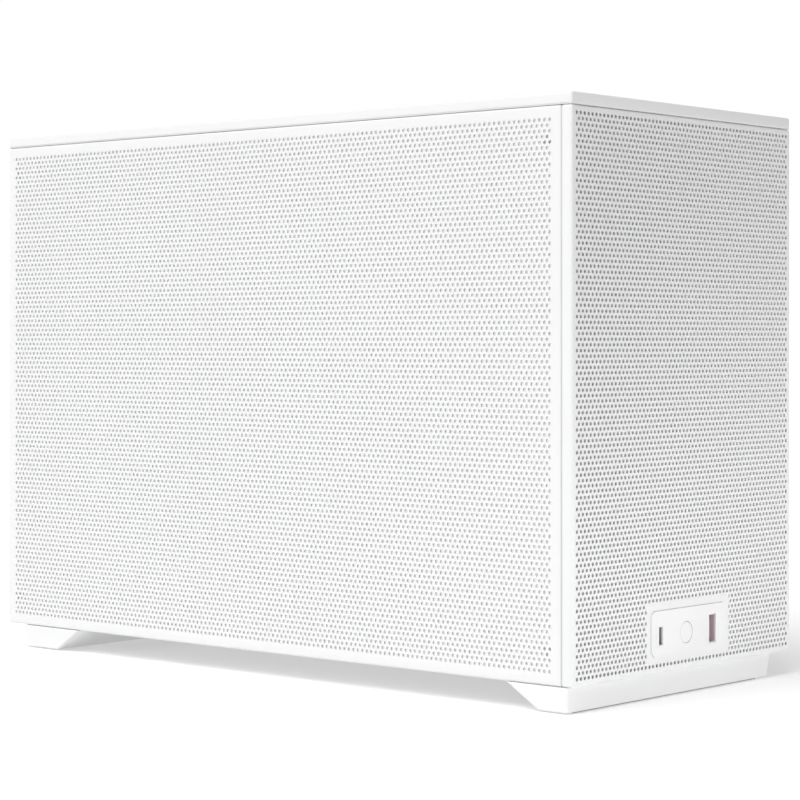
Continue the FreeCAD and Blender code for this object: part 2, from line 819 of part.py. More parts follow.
def board_parts():
    """The processor in its socket, the connectors, the port block, the heat sinks and the drive."""
    socket = on_board("socket_high", around("socket_y", "socket_half"), around("socket_z", "socket_half"))
    chip = block(("board_face - socket_high - chip_high", "board_face - socket_high"),
                 around("socket_y", "chip_half"), around("socket_z", "chip_half"))
    node(group([socket, chip]), "processor_and_socket")
    connectors = [on_board(*spans) for spans in CONNECTORS.values()]
    for number in range(2):
        middle = f"memory_y + {number} * memory_pitch"
        up = ("memory_low - memory_slot_extra", "memory_low + memory_long + memory_slot_extra")
        connectors.append(block(("memory_foot", "board_face"), around(middle, "memory_slot_half"), up))
    node(group(connectors), "board_connectors")
    sticks = []
    for number in range(2):
        middle = f"memory_y + {number} * memory_pitch"
        sticks.append(block(("memory_top", "memory_foot"), around(middle, "memory_half"),
                            ("memory_low", "memory_low + memory_long")))
    node(group(sticks), "memory_modules")
    ports = block(("ports_left", "board_face"), ("ports_front", "rear_plane + sheet"),
                  ("ports_low", "ports_high"))
    mouths = []
    for across, up in PORT_MOUTHS.values():
        mouths.append(block(across, ("mouth_floor", "rear_plane + 2"), up))
    for level in JACK_LEVELS:
        mouths.append(rod("y", ("jack_x", "jack_floor", level), "20", "jack_bore"))
    node(cut(ports, mouths), "rear_port_block")
    node(group([on_board(*spans) for spans in HEAT_SINKS.values()]), "board_heat_sinks")
    node(on_board("5", ("-25", "45"), ("116", "138")), "solid_state_drive")


def bent_tube(points, radius, bend=None):
    """A tube along straight runs joined by tangent arcs, as wide as the shorter run at each corner allows."""
    runs = [after - before for before, after in zip(points, points[1:])]
    edges = []
    start = points[0]
    for corner, before, after in zip(points[1:-1], runs, runs[1:]):
        turn = before.getAngle(after)
        shorter = min(before.Length, after.Length)
        arc_radius = bend or 0.45 * shorter / math.tan(turn / 2)
        reach = arc_radius * math.tan(turn / 2)
        into = corner - V(before).normalize() * reach
        out_of = corner + V(after).normalize() * reach
        inward = (V(after).normalize() - V(before).normalize()).normalize()
        middle = corner + inward * (arc_radius / math.cos(turn / 2) - arc_radius)
        edges.append(Part.LineSegment(start, into).toShape())
        edges.append(Part.Arc(into, middle, out_of).toShape())
        start = out_of
    edges.append(Part.LineSegment(start, points[-1]).toShape())
    section = Part.Wire([Part.Circle(points[0], runs[0], radius).toShape()])
    return Part.Wire(edges).makePipeShell([section], True, False)


def feature(shape, name):
    solid = doc.addObject("Part::Feature", name)
    solid.Shape = shape
    return solid


PIPE_STEPS = (-1.5, -0.5, 0.5, 1.5)
COOLER_FINS = 27
CARD_FINS = 16


def cooler():
    """A tower cooler: a base plate with four bent heat pipes that carry a stack of thin fins."""
    base = block(("cooler_base_top", "board_face - socket_high - chip_high"),
                 around("socket_y", "cooler_base_half"),
                 around("socket_z", "cooler_base_half"))
    pipes = []
    fin_holes = []
    for number in PIPE_STEPS:
        level = cell("socket_z") + number * cell("pipe_pitch")
        sides = [cell("socket_y") - cell("pipe_gauge"), cell("socket_y") + cell("pipe_gauge")]
        top = cell("pipe_level")
        reach = cell("pipe_reach")
        route = [V(reach, sides[0], level), V(top, sides[0], level)]
        route += [V(top, sides[1], level), V(reach, sides[1], level)]
        pipes.append(feature(bent_tube(route, cell("pipe_radius"), cell("pipe_bend")), "pipe"))
        for side in (-1, 1):
            start = ("pipe_reach - 1", f"socket_y + {side} * pipe_gauge", f"socket_z + {number} * pipe_pitch")
            fin_holes.append(rod("x", start, "cooler_base_top - pipe_reach - 10", "pipe_radius"))
    node(fuse([base] + pipes), "cooler_base_and_pipes")
    fins = []
    for number in range(COOLER_FINS):
        start = f"fin_first + {number} * fin_pitch"
        across = (start, f"{start} + fin_thick")
        fins.append(block(across, ("fin_front", "fin_back"), around("socket_z", "fin_half")))
    node(cut(group(fins), fin_holes), "cooler_fins")


# ---- fans


def fan_frame(name, at, axis):
    """A square fan frame whose motor seat hangs on four struts at the side that the air leaves by."""
    half = "fan_size / 2"
    shell = block(around("0", half), around("0", half), ("0", "fan_depth"))
    shell = round_edges(shell, "fan_strut", lambda edge: along_axis(edge, V(0, 0, 1)))
    holes = [rod("z", ("0", "0", "-1"), "fan_depth + 2", "fan_bore")]
    for x, y in fan_corners("0", "0"):
        holes.append(rod("z", (x, y, "-1"), "fan_depth + 2", "fan_screw"))
    level = ("fan_depth - fan_strut", "fan_depth")
    seat = rod("z", ("0", "0", level[0]), "fan_strut", "fan_hub")
    axle = rod("z", ("0", "0", "rotor_low + 2"), "fan_depth - fan_strut - rotor_low - 2", "fan_axle")
    ring = [cut(shell, holes), seat, axle]
    for side in (-1, 1):
        reach = around(f"{side} * (fan_hub + fan_bore) / 2", "(fan_bore - fan_hub) / 2 + 1")
        ring.append(block(reach, around("0", "fan_strut"), level))
        ring.append(block(around("0", "fan_strut"), reach, level))
    node(place(fuse(ring), at, TURNS[axis]), name)


def rotor(name, at, axis, sizes, blade_count=9):
    """A hub with tilted blades. The sizes name the cells for its hub, tip, two faces and blade width."""
    hub_radius, tip, low, high, chord = sizes
    hub = rod("z", ("0", "0", low), f"({high}) - ({low})", hub_radius)
    hole = rod("z", ("0", "0", f"({low}) + 1.5"), f"({high}) - ({low})", "fan_axle + axle_clearance")
    blades = []
    for number in range(blade_count):
        blade = doc.addObject("Part::Box", "blade")
        blade.setExpression("Length", in_sheet(f"{tip} - {hub_radius} + 1"))
        blade.setExpression("Width", in_sheet(chord))
        blade.setExpression("Height", in_sheet("blade_thick"))
        turn = FreeCAD.Rotation(V(1, 0, 0), cell("blade_tilt"))
        tilted = FreeCAD.Placement(V(cell(hub_radius) - 1, 0, 0), turn)
        spread = FreeCAD.Placement(V(0, 0, 0), FreeCAD.Rotation(V(0, 0, 1), 360 * number / blade_count))
        centred = FreeCAD.Placement(V(0, -cell(chord) / 2, -cell("blade_thick") / 2), FreeCAD.Rotation())
        blade.Placement = spread * tilted * centred
        blades.append(blade)
    ring = group(blades)
    place(ring, ("0", "0", f"(({low}) + ({high})) / 2"))
    whole = cut(fuse([hub, ring]), [hole])
    node(place(whole, at, TURNS[axis]), name)


CASE_ROTOR = ("rotor_hub", "fan_tip", "rotor_low", "rotor_high", "blade_chord")


def case_fans():
    rear = ("rear_fan_x", "rear_plane - fan_depth", "rear_fan_z")
    cooler_fan = ("cooler_fan_x", "cooler_fan_front", "socket_z")
    roof = ("0", "roof_fan_front", "roof_level - fan_depth")
    roof_back = ("0", "roof_fan_rear", "roof_level - fan_depth")
    for name, at, axis in (
        ("rear_fan", rear, "y"),
        ("cooler_fan", cooler_fan, "y"),
        ("top_fan_front", roof, "z"),
        ("top_fan_rear", roof_back, "z"),
    ):
        fan_frame(f"{name}_frame", at, axis)
        rotor(f"{name}_rotor", at, axis, CASE_ROTOR)


# ---- graphics card, covers and rear screws


def graphics_card():
    """A two-slot card that hangs under its board: heat sink, shroud with two fans, and rear bracket."""
    top = ("slot_top - card_thick / 2", "slot_top + card_thick / 2")
    back = "rear_plane - bracket_thick"
    node(block(("card_left", "card_foot"), ("card_front", back), top), "graphics_board")
    roof = top[0]
    shell = block(("shroud_left", "shroud_right"), ("shroud_front", back), ("shroud_low", roof))
    hollow = block(("shroud_left + shroud_wall", "shroud_right - shroud_wall"),
                   ("shroud_front + shroud_wall", f"{back} - shroud_wall"),
                   ("shroud_low + shroud_wall", f"{roof} + 1"))
    wells = [rod("z", ("card_fan_x", y, "shroud_low - 1"), "shroud_wall + 2", "card_fan_well")
             for y in ("card_fan_front", "card_fan_rear")]
    node(cut(shell, [hollow] + wells), "graphics_shroud")
    run = ("shroud_front + card_sink_inset", "card_sink_back")
    foot_level = f"{roof} - card_sink_plate"
    plate = block(("shroud_left + 6", "shroud_right - 6"), run, (foot_level, roof))
    fins = []
    for number in range(CARD_FINS):
        start = f"shroud_left + card_sink_inset + {number} * card_sink_pitch"
        fins.append(block((start, f"{start} + card_sink_fin"), run, ("card_sink_low", foot_level)))
    pins = [rod("z", ("card_fan_x", y, "card_fan_low + 3"), "card_sink_low - card_fan_low - 3", "fan_axle")
            for y in ("card_fan_front", "card_fan_rear")]
    node(fuse([plate] + fins + pins), "graphics_heat_sink")
    sizes = ("card_fan_hub", "card_fan_tip", "0", "card_fan_high - card_fan_low", "card_blade_chord")
    for end in ("front", "rear"):
        at = ("card_fan_x", f"card_fan_{end}", "card_fan_low")
        rotor(f"graphics_fan_{end}_rotor", at, "z", sizes, 11)
    bracket = block(("bracket_left", "bracket_right"), (back, "rear_plane"),
                    (f"{SLOTS[1]} - slot_half", f"{SLOTS[0]} + slot_half"))
    ports = []
    for number in range(2):
        left = f"card_port_left + {number} * card_port_pitch"
        across = (left, f"{left} + card_port_wide")
        ports.append(block(across, ("rear_plane - 3", "rear_plane + 1"), around(SLOTS[0], "card_port_half")))
        ports.append(rod("y", ("bracket_screw_x", "rear_plane - 2", SLOTS[number]), "4", "rear_screw"))
    node(cut(bracket, ports), "graphics_bracket")


def slot_covers():
    covers = []
    for middle in SLOTS[2:]:
        plate = block(("bracket_left", "bracket_right"), ("rear_plane - bracket_thick", "rear_plane"),
                      around(middle, "slot_half"))
        hole = rod("y", ("bracket_screw_x", "rear_plane - 2", middle), "4", "rear_screw")
        covers.append(cut(plate, [hole]))
    node(group(covers), "slot_covers")


def rear_screws():
    """Screws for the four card slots and the rear fan. The heads stand as far out as the front plate."""
    outer = "rear_plane + sheet"
    head = f"{rear_face} + io_proud - ({outer})"
    screws = []
    for middle in SLOTS:
        start = ("bracket_screw_x", "rear_plane - bracket_thick", middle)
        shank = rod("y", start, "sheet + bracket_thick", "rear_screw")
        screws.append(fuse([rod("y", ("bracket_screw_x", outer, middle), head, "rear_screw_head"), shank]))
    for x, z in fan_corners("rear_fan_x", "rear_fan_z"):
        shank = rod("y", (x, "rear_plane - fan_screw_reach", z), "fan_screw_reach + sheet", "fan_screw")
        screws.append(fuse([rod("y", (x, outer, z), head, "rear_screw_head"), shank]))
    node(group(screws), "rear_screws")


# ---- power supply and mains


def power_supply():
    """A box with a large fan in its left face, held to a folded bracket, with a rocker switch underneath."""
    length = ("supply_front", "supply_back")
    height = ("supply_low", "supply_high")
    middle_y = "(supply_front + supply_back) / 2"
    middle_z = "(supply_low + supply_high) / 2"
    outside = block(("supply_left", "supply_right"), length, height)
    hollow = block(("supply_left + supply_wall", "supply_right - supply_wall"),
                   ("supply_front + supply_wall", "supply_back - supply_wall"),
                   ("supply_low + supply_wall", "supply_high - supply_wall"))
    well = rod("x", ("supply_left - 1", middle_y, middle_z), "supply_wall + 2", "supply_fan_well - 1")
    rocker_room = block(around("rocker_x", "rocker_wide / 2 + rocker_gap"),
                        around("rocker_y", "rocker_long / 2 + rocker_gap"), around("supply_low", "3"))
    plug_room = block(around("plug_x", "plug_half_x"), around("plug_y", "plug_half_y"),
                      around("supply_low", "3"))
    seat = rod("x", ("supply_fan_high + 3", middle_y, middle_z), "4", "fan_hub")
    axle_length = "supply_fan_high - supply_fan_low - 1"
    axle = rod("x", ("supply_fan_low + 4", middle_y, middle_z), axle_length, "fan_axle")
    arm = block(("supply_fan_high + 5", "supply_fan_high + 7"), around(middle_y, "4"),
                ("supply_low + supply_wall - 0.5", "supply_high - supply_wall + 0.5"))
    casing = cut(outside, [hollow, well, rocker_room, plug_room])
    node(fuse([casing, seat, axle, arm]), "power_supply_casing")
    wires = []
    for number in range(1, 5):
        start = ("supply_left - 2 * guard_wire", middle_y, middle_z)
        disc = rod("x", start, "2 * guard_wire", f"{number} * guard_step + guard_wire")
        wires.append(cut(disc, [rod("x", start, "2 * guard_wire", f"{number} * guard_step - guard_wire")]))
    edge = "(supply_fan_well - 1)"
    for y, z, axis in (("0", edge, "z"), (edge, "0", "y")):
        start = ("supply_left - guard_wire", f"{middle_y} - {y}", f"{middle_z} - {z}")
        wires.append(rod(axis, start, f"2 * {edge}", "guard_wire"))
    node(fuse(wires), "power_supply_fan_guard")
    sizes = ("rotor_hub", "supply_fan_tip", "0", "supply_fan_high - supply_fan_low", "supply_blade_chord")
    rotor("power_supply_fan_rotor", ("supply_fan_low", middle_y, middle_z), "x", sizes)
    rocker = doc.addObject("Part::Box", "rocker")
    for size, name in (("Length", "rocker_wide"), ("Width", "rocker_long"), ("Height", "rocker_thick")):
        rocker.setExpression(size, in_sheet(name))
    half = V(-cell("rocker_wide") / 2, -cell("rocker_long") / 2, -cell("rocker_thick") / 2)
    middle = V(cell("rocker_x"), cell("rocker_y"), cell("supply_low"))
    tilted = FreeCAD.Placement(middle, FreeCAD.Rotation(V(1, 0, 0), cell("rocker_tilt")))
    rocker.Placement = tilted * FreeCAD.Placement(half, FreeCAD.Rotation())
    node(rocker, "power_supply_switch")
    plate = block(("supply_right", "supply_right + plate_thick"), ("front_plane", "supply_back"),
                  ("supply_low - 5", "supply_high"))
    tab = block(("supply_right", "supply_right + plate_thick"), ("front_plane", "bracket_tab_back"),
                ("supply_high", "roof_level"))
    roof_fold = block(("supply_right", "supply_right + bracket_fold"), ("front_plane", "bracket_tab_back"),
                      ("roof_level - plate_thick", "roof_level"))
    front_fold = block(("supply_right", "supply_right + bracket_fold"),
                       ("front_plane", "front_plane + plate_thick"),
                       ("supply_low - 5", "roof_level"))
    node(fuse([plate, tab, roof_fold, front_fold]), "power_supply_bracket")


def mains():
    """The panel inlet with its three pins, and the inner lead from it to a plug in the power supply."""
    wall_back = "rear_plane + sheet"
    flange = block(around("inlet_x", "inlet_half_x + inlet_flange"),
                   (wall_back, f"{wall_back} + inlet_flange"),
                   around("inlet_z", "inlet_half_z + inlet_flange"))
    body = block(around("inlet_x", "inlet_half_x"),
                 (f"{wall_back} - inlet_depth", f"{wall_back} + 1"),
                 around("inlet_z", "inlet_half_z"))
    mouth = block(around("inlet_x", "inlet_half_x - inlet_wall"),
                  ("rear_plane - inlet_depth + 4", "rear_plane + 5"),
                  around("inlet_z", "inlet_half_z - inlet_wall"))
    pins = []
    for x, rise in (("-7", "0"), ("7", "0"), ("0", "1")):
        level = f"inlet_z + ({rise}) * inlet_pin_rise"
        run = ("rear_plane - inlet_depth + 3.5", "rear_plane - 2")
        pins.append(block(around(f"inlet_x + ({x})", "1"), run, around(level, "inlet_pin_half")))
    node(fuse([cut(fuse([flange, body]), [mouth])] + pins), "mains_inlet")
    start = V(cell("inlet_x"), cell("rear_plane") + cell("sheet") - cell("inlet_depth"), cell("inlet_z"))
    end = V(cell("plug_x"), cell("plug_y"), cell("plug_low"))
    inner = [(-73, 168, 40), (-76, 122, 29), (-78, 68, 25), (-77, 14, 27), (-78, -38, 34), (-73, -74, 56)]
    route = [start] + [V(*point) for point in inner] + [V(end.x, end.y, end.z - 30), end]
    lead = feature(bent_tube(route, 4), "lead")
    plug = block(around("plug_x", "plug_half_x"), around("plug_y", "plug_half_y"), ("plug_low", "plug_high"))
    node(fuse([lead, plug]), "mains_lead")


def power_cables():
    """Sleeved leads from the power supply to the board, the processor's connector and the graphics card."""
    top = cell("supply_high")
    face = cell("board_face")
    board_lead = [V(-30, -75, top), V(-30, -75, top + 12), V(-8, -80, top + 17), V(16, -82, top + 8),
                  V(26, -74, top - 16), V(30, -58, top - 46), V(34, -40, top - 70), V(44, -32, top - 79),
                  V(face - 14, -32, top - 79)]
    chip_lead = [V(-50, -140, top), V(-50, -140, top + 12), V(-26, -141, top + 17), V(8, -140, top + 16),
                 V(42, -133, top + 15), V(62, -108, top + 14), V(69, -62, top + 13), V(69, 0, top + 14),
                 V(70, 60, top + 13), V(69, 112, top + 14), V(65, 144, top + 14), V(63, 157, top + 8),
                 V(63, 157, 269)]
    card_lead = [V(-20, -160, top), V(-20, -160, top + 11), V(-4, -163, top + 16), V(12, -165, top + 8),
                 V(20, -164, top - 16), V(22, -160, top - 56), V(20, -150, top - 96), V(14, -134, top - 134),
                 V(4, -116, 112), V(-4, -100, 92), V(-4, cell("shroud_front"), 92)]
    tubes = []
    for route, radius in ((board_lead, 5), (chip_lead, 3), (card_lead, 3.5)):
        tubes.append(feature(bent_tube(route, radius), "sleeve"))
    node(group(tubes), "power_cables")
    front_lead = [V(10, cell("io_board_back"), 34), V(10, -184, 34), V(16, -166, 26), V(27, -140, 22),
                  V(40, -104, 22), V(52, -68, 24), V(63, -40, 31), V(66, -30, 33.5), V(66, -20, 33.5)]
    node(feature(bent_tube(front_lead, 2), "front_lead"), "front_io_cable")


base_tray()
rear_wall()
front_frame()
top_frame()
motherboard_tray()
panel_sockets()
feet()
side_panel("left_panel", -1)
side_panel("right_panel", 1)
front_panel()
top_cover()
bottom_filter()
io_module()
motherboard()
board_parts()
cooler()
case_fans()
graphics_card()
slot_covers()
rear_screws()
power_supply()
mains()
power_cables()

doc.recompute()
for item in doc.Objects:
    if "Invalid" in item.State or "Error" in item.State:
        raise RuntimeError(f"{item.Name} ({item.Label}) did not build: {item.State}")
for solid in nodes:
    if solid.Shape.isNull() or not solid.Shape.isValid():
        raise RuntimeError(f"{solid.Label} has no valid shape")

os.makedirs("parts", exist_ok=True)
for solid in nodes:
    solid.Shape.exportStep(f"parts/{solid.Label}.step")
    print(solid.Label, len(solid.Shape.Solids), round(solid.Shape.Volume, 1))
print(len(nodes), "nodes")
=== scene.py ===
import json
import math
import random

import bmesh
import bpy
from mathutils import Matrix, Vector


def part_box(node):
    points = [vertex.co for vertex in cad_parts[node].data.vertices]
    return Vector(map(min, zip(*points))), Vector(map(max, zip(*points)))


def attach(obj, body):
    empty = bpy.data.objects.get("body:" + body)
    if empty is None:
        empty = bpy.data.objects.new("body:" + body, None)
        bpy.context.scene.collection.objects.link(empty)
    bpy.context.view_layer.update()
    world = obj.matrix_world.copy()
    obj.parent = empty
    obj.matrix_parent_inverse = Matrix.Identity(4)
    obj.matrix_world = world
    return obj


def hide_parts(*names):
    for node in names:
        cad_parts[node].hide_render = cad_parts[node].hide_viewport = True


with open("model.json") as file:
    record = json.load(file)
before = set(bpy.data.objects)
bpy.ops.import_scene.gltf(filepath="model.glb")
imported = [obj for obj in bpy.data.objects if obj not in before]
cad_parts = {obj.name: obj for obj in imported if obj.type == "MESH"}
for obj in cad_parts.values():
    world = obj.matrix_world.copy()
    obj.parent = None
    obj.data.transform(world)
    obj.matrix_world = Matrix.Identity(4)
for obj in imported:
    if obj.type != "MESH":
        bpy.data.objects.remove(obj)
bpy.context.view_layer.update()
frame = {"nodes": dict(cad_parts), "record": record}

mm = 0.001
touching = 0.001 * mm
print("frame loaded:", len(frame["nodes"]), "nodes")


def startMaterial(name, colour, roughness, metallic=0.0):
    material = bpy.data.materials.new(name)
    material.use_nodes = True
    shader = material.node_tree.nodes["Principled BSDF"]
    shader.inputs["Base Color"].default_value = (*colour, 1)
    shader.inputs["Roughness"].default_value = roughness
    shader.inputs["Metallic"].default_value = metallic
    return material, material.node_tree, shader


def objectPlace(tree, stretch=(1, 1, 1)):
    place = tree.nodes.new("ShaderNodeTexCoord")
    mapping = tree.nodes.new("ShaderNodeMapping")
    mapping.inputs["Scale"].default_value = stretch
    tree.links.new(place.outputs["Object"], mapping.inputs["Vector"])
    return mapping.outputs["Vector"]


def noise(tree, vector, scale, detail=3.0, rough=0.55):
    node = tree.nodes.new("ShaderNodeTexNoise")
    node.inputs["Scale"].default_value = scale
    node.inputs["Detail"].default_value = detail
    node.inputs["Roughness"].default_value = rough
    tree.links.new(vector, node.inputs["Vector"])
    return node.outputs["Fac"]


def ramp(tree, factor, low, high, lowAt=0.3, highAt=0.7):
    node = tree.nodes.new("ShaderNodeValToRGB")
    node.color_ramp.elements[0].position = lowAt
    node.color_ramp.elements[1].position = highAt
    node.color_ramp.elements[0].color = (*low, 1)
    node.color_ramp.elements[1].color = (*high, 1)
    tree.links.new(factor, node.inputs["Fac"])
    return node.outputs["Color"]


def spread(tree, factor, low, high):
    node = tree.nodes.new("ShaderNodeMapRange")
    node.inputs["To Min"].default_value = low
    node.inputs["To Max"].default_value = high
    tree.links.new(factor, node.inputs["Value"])
    return node.outputs["Result"]


def bump(tree, shader, height, strength, distance):
    node = tree.nodes.new("ShaderNodeBump")
    node.inputs["Strength"].default_value = strength
    node.inputs["Distance"].default_value = distance
    tree.links.new(height, node.inputs["Height"])
    tree.links.new(node.outputs["Normal"], shader.inputs["Normal"])


def darkened(values, dark):
    # the colour at a share of its brightness
    return [c * dark for c in values["colour"]]


def paintedSteel(name, values):
    # powder coat: an even tint, slight cloudiness and a fine orange peel
    material, tree, shader = startMaterial(name, values["colour"], values["roughness"])
    place = objectPlace(tree)
    cloud = noise(tree, place, values["cloudScale"])
    dark = darkened(values, values["cloudDark"])
    tree.links.new(ramp(tree, cloud, dark, values["colour"]), shader.inputs["Base Color"])
    grain = noise(tree, place, values["grainScale"], 2)
    low, high = values["roughness"] - values["uneven"], values["roughness"] + values["uneven"]
    tree.links.new(spread(tree, grain, low, high), shader.inputs["Roughness"])
    bump(tree, shader, grain, values["peel"], values["peelHeight"])
    return material


plasticGrain = {"dark": 0.96, "uneven": 0.06, "detail": 4, "height": 0.05 * mm}


def mouldedPlastic(name, values):
    material, tree, shader = startMaterial(name, values["colour"], values["roughness"])
    place = objectPlace(tree)
    speckle = noise(tree, place, values["grainScale"], plasticGrain["detail"])
    dark = darkened(values, plasticGrain["dark"])
    tree.links.new(ramp(tree, speckle, dark, values["colour"]), shader.inputs["Base Color"])
    low, high = values["roughness"] - plasticGrain["uneven"], values["roughness"] + plasticGrain["uneven"]
    tree.links.new(spread(tree, speckle, low, high), shader.inputs["Roughness"])
    bump(tree, shader, speckle, values["grain"], plasticGrain["height"])
    return material


scratches = {
    "dark": 0.86, "smoother": 0.08, "rougher": 0.1, "detail": 4, "rough": 0.7, "bump": 0.12, "height": 0.03 * mm,
}


def brushedMetal(name, values):
    # long scratches along one axis
    material, tree, shader = startMaterial(name, values["colour"], values["roughness"], 1.0)
    place = objectPlace(tree, values["stretch"])
    lines = noise(tree, place, values["lineScale"], scratches["detail"], scratches["rough"])
    dark = darkened(values, scratches["dark"])
    tree.links.new(ramp(tree, lines, dark, values["colour"]), shader.inputs["Base Color"])
    low, high = values["roughness"] - scratches["smoother"], values["roughness"] + scratches["rougher"]
    tree.links.new(spread(tree, lines, low, high), shader.inputs["Roughness"])
    bump(tree, shader, lines, scratches["bump"], scratches["height"])
    return material


def netCloth(name, values):
    # crossed threads of the dust nets
    material, tree, shader = startMaterial(name, values["colour"], values["roughness"])
    place = objectPlace(tree)
    shader.inputs["Alpha"].default_value = values["cover"]
    threads = tree.nodes.new("ShaderNodeTexChecker")
    threads.inputs["Scale"].default_value = values["threadScale"]
    threads.inputs["Color1"].default_value = (*values["colour"], 1)
    threads.inputs["Color2"].default_value = (*darkened(values, values["dark"]), 1)
    tree.links.new(place, threads.inputs["Vector"])
    tree.links.new(threads.outputs["Color"], shader.inputs["Base Color"])
    return material


paint = {
    "colour": (0.82, 0.822, 0.826), "roughness": 0.42, "cloudScale": 9, "cloudDark": 0.985,
    "grainScale": 900, "peel": 0.18, "peelHeight": 0.06 * mm, "uneven": 0.05,
}
panelPaint = paintedSteel("panelPaint", paint)
chassisPaint = paintedSteel("chassisPaint", {**paint, "colour": (0.8, 0.803, 0.81), "roughness": 0.5})
whitePlastic = mouldedPlastic("whitePlastic", {
    "colour": (0.84, 0.842, 0.845), "roughness": 0.4, "grainScale": 1400, "grain": 0.15,
})
fanPlastic = mouldedPlastic("fanPlastic", {
    "colour": (0.8, 0.805, 0.81), "roughness": 0.45, "grainScale": 1100, "grain": 0.2,
})
blackPlastic = mouldedPlastic("blackPlastic", {
    "colour": (0.02, 0.02, 0.022), "roughness": 0.45, "grainScale": 1500, "grain": 0.3,
})
portTongueRed = mouldedPlastic("portTongueRed", {
    "colour": (0.9, 0.68, 0.69), "roughness": 0.4, "grainScale": 2000, "grain": 0.1,
})
padRubber = mouldedPlastic("padRubber", {
    "colour": (0.3, 0.3, 0.31), "roughness": 0.8, "grainScale": 900, "grain": 0.6,
})
sealRubber = mouldedPlastic("sealRubber", {
    "colour": (0.8, 0.8, 0.805), "roughness": 0.8, "grainScale": 900, "grain": 0.3,
})
leadRubber = mouldedPlastic("leadRubber", {
    "colour": (0.72, 0.72, 0.73), "roughness": 0.55, "grainScale": 700, "grain": 0.3,
})
portSteel = brushedMetal("portSteel", {
    "colour": (0.68, 0.68, 0.7), "roughness": 0.3, "stretch": (1, 1, 12), "lineScale": 400,
})
screwSteel = brushedMetal("screwSteel", {
    "colour": (0.72, 0.72, 0.74), "roughness": 0.28, "stretch": (1, 6, 1), "lineScale": 900,
})
contactGold = brushedMetal("contactGold", {
    "colour": (0.86, 0.66, 0.33), "roughness": 0.3, "stretch": (1, 1, 1), "lineScale": 900,
})
coolerMetal = brushedMetal("coolerMetal", {
    "colour": (0.86, 0.87, 0.88), "roughness": 0.36, "stretch": (1, 8, 1), "lineScale": 300,
})
chokeGrey = mouldedPlastic("chokeGrey", {
    "colour": (0.22, 0.225, 0.23), "roughness": 0.5, "grainScale": 1200, "grain": 0.5,
})


boardLines = {"gap": 0.035, "long": 2.2, "row": 0.16, "dark": 0.94, "bump": 0.2, "height": 0.04 * mm, "coat": 0.4,
              "coatRoughness": 0.2}


def solderResist(name, values):
    # fine copper lines under the lacquer, in the plane of the board
    material, tree, shader = startMaterial(name, values["colour"], values["roughness"])
    place = tree.nodes.new("ShaderNodeTexCoord")
    parts = tree.nodes.new("ShaderNodeSeparateXYZ")
    plane = tree.nodes.new("ShaderNodeCombineXYZ")
    tree.links.new(place.outputs["Object"], parts.inputs["Vector"])
    tree.links.new(parts.outputs[values["first"]], plane.inputs["X"])
    tree.links.new(parts.outputs[values["second"]], plane.inputs["Y"])
    lines = tree.nodes.new("ShaderNodeTexBrick")
    lines.inputs["Scale"].default_value = values["lineScale"]
    lines.inputs["Mortar Size"].default_value = boardLines["gap"]
    lines.inputs["Brick Width"].default_value = boardLines["long"]
    lines.inputs["Row Height"].default_value = boardLines["row"]
    lines.inputs["Color1"].default_value = (*values["colour"], 1)
    lines.inputs["Color2"].default_value = (*darkened(values, boardLines["dark"]), 1)
    lines.inputs["Mortar"].default_value = (*values["lineColour"], 1)
    tree.links.new(plane.outputs["Vector"], lines.inputs["Vector"])
    tree.links.new(lines.outputs["Color"], shader.inputs["Base Color"])
    bump(tree, shader, lines.outputs["Fac"], boardLines["bump"], boardLines["height"])
    shader.inputs["Coat Weight"].default_value = boardLines["coat"]
    shader.inputs["Coat Roughness"].default_value = boardLines["coatRoughness"]
    return material


boardLook = {"colour": (0.5, 0.52, 0.55), "lineColour": (0.64, 0.66, 0.68), "roughness": 0.4, "lineScale": 120}
circuitBoard = solderResist("circuitBoard", {**boardLook, "first": "Y", "second": "Z"})
cardBoard = solderResist("cardBoard", {**boardLook, "first": "X", "second": "Y"})


def braid(name, values):
    # a woven sleeve: small crossed strands
    material, tree, shader = startMaterial(name, values["colour"], values["roughness"])
    place = objectPlace(tree)
    strands = tree.nodes.new("ShaderNodeTexVoronoi")
    strands.inputs["Scale"].default_value = values["strandScale"]
    strands.distance = "CHEBYCHEV"
    tree.links.new(place, strands.inputs["Vector"])
    dark = darkened(values, values["dark"])
    tree.links.new(ramp(tree, strands.outputs["Distance"], values["colour"], dark, *values["edges"]),
                   shader.inputs["Base Color"])
    bump(tree, shader, strands.outputs["Distance"], values["bump"], values["height"])
    return material


braidedSleeve = braid("braidedSleeve", {
    "colour": (0.78, 0.78, 0.79), "roughness": 0.7, "strandScale": 900, "dark": 0.62, "edges": (0.2, 0.75),
    "bump": 0.7, "height": 0.3 * mm,
})
netLook = {"roughness": 0.7, "threadScale": 1800, "dark": 0.9}
dustNet = netCloth("dustNet", {**netLook, "colour": (0.95, 0.95, 0.955), "cover": 0.97})
# the front net is a darker copy of the side nets: its grey is painted shade, so that the front's holes show darker
# than the sheet round them
frontNetPaintedShade = netCloth("frontNetPaintedShade", {**netLook, "colour": (0.38, 0.38, 0.388), "cover": 0.9})
print("materials made")


record = frame["record"]
bodyOf = {node: body for body, names in record["behaviour"]["bodies"].items() for node in names}


def addPiece(name, bm, material, body, nodes=(), smooth=35):
    mesh = bpy.data.meshes.new(name)
    bm.to_mesh(mesh)
    bm.free()
    piece = bpy.data.objects.new(name, mesh)
    bpy.context.collection.objects.link(piece)
    for layer in material if isinstance(material, tuple) else (material,):
        mesh.materials.append(layer)
    mesh.shade_smooth()
    mesh.set_sharp_from_angle(angle=math.radians(smooth))
    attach(piece, body)
    if nodes:
        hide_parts(*nodes)
    return piece


def standIn(node, bm, material, smooth=35):
    # a detailed shape in the place of one of the frame's own nodes
    return addPiece(f"{node}_detailed", bm, material, bodyOf[node], [node], smooth)


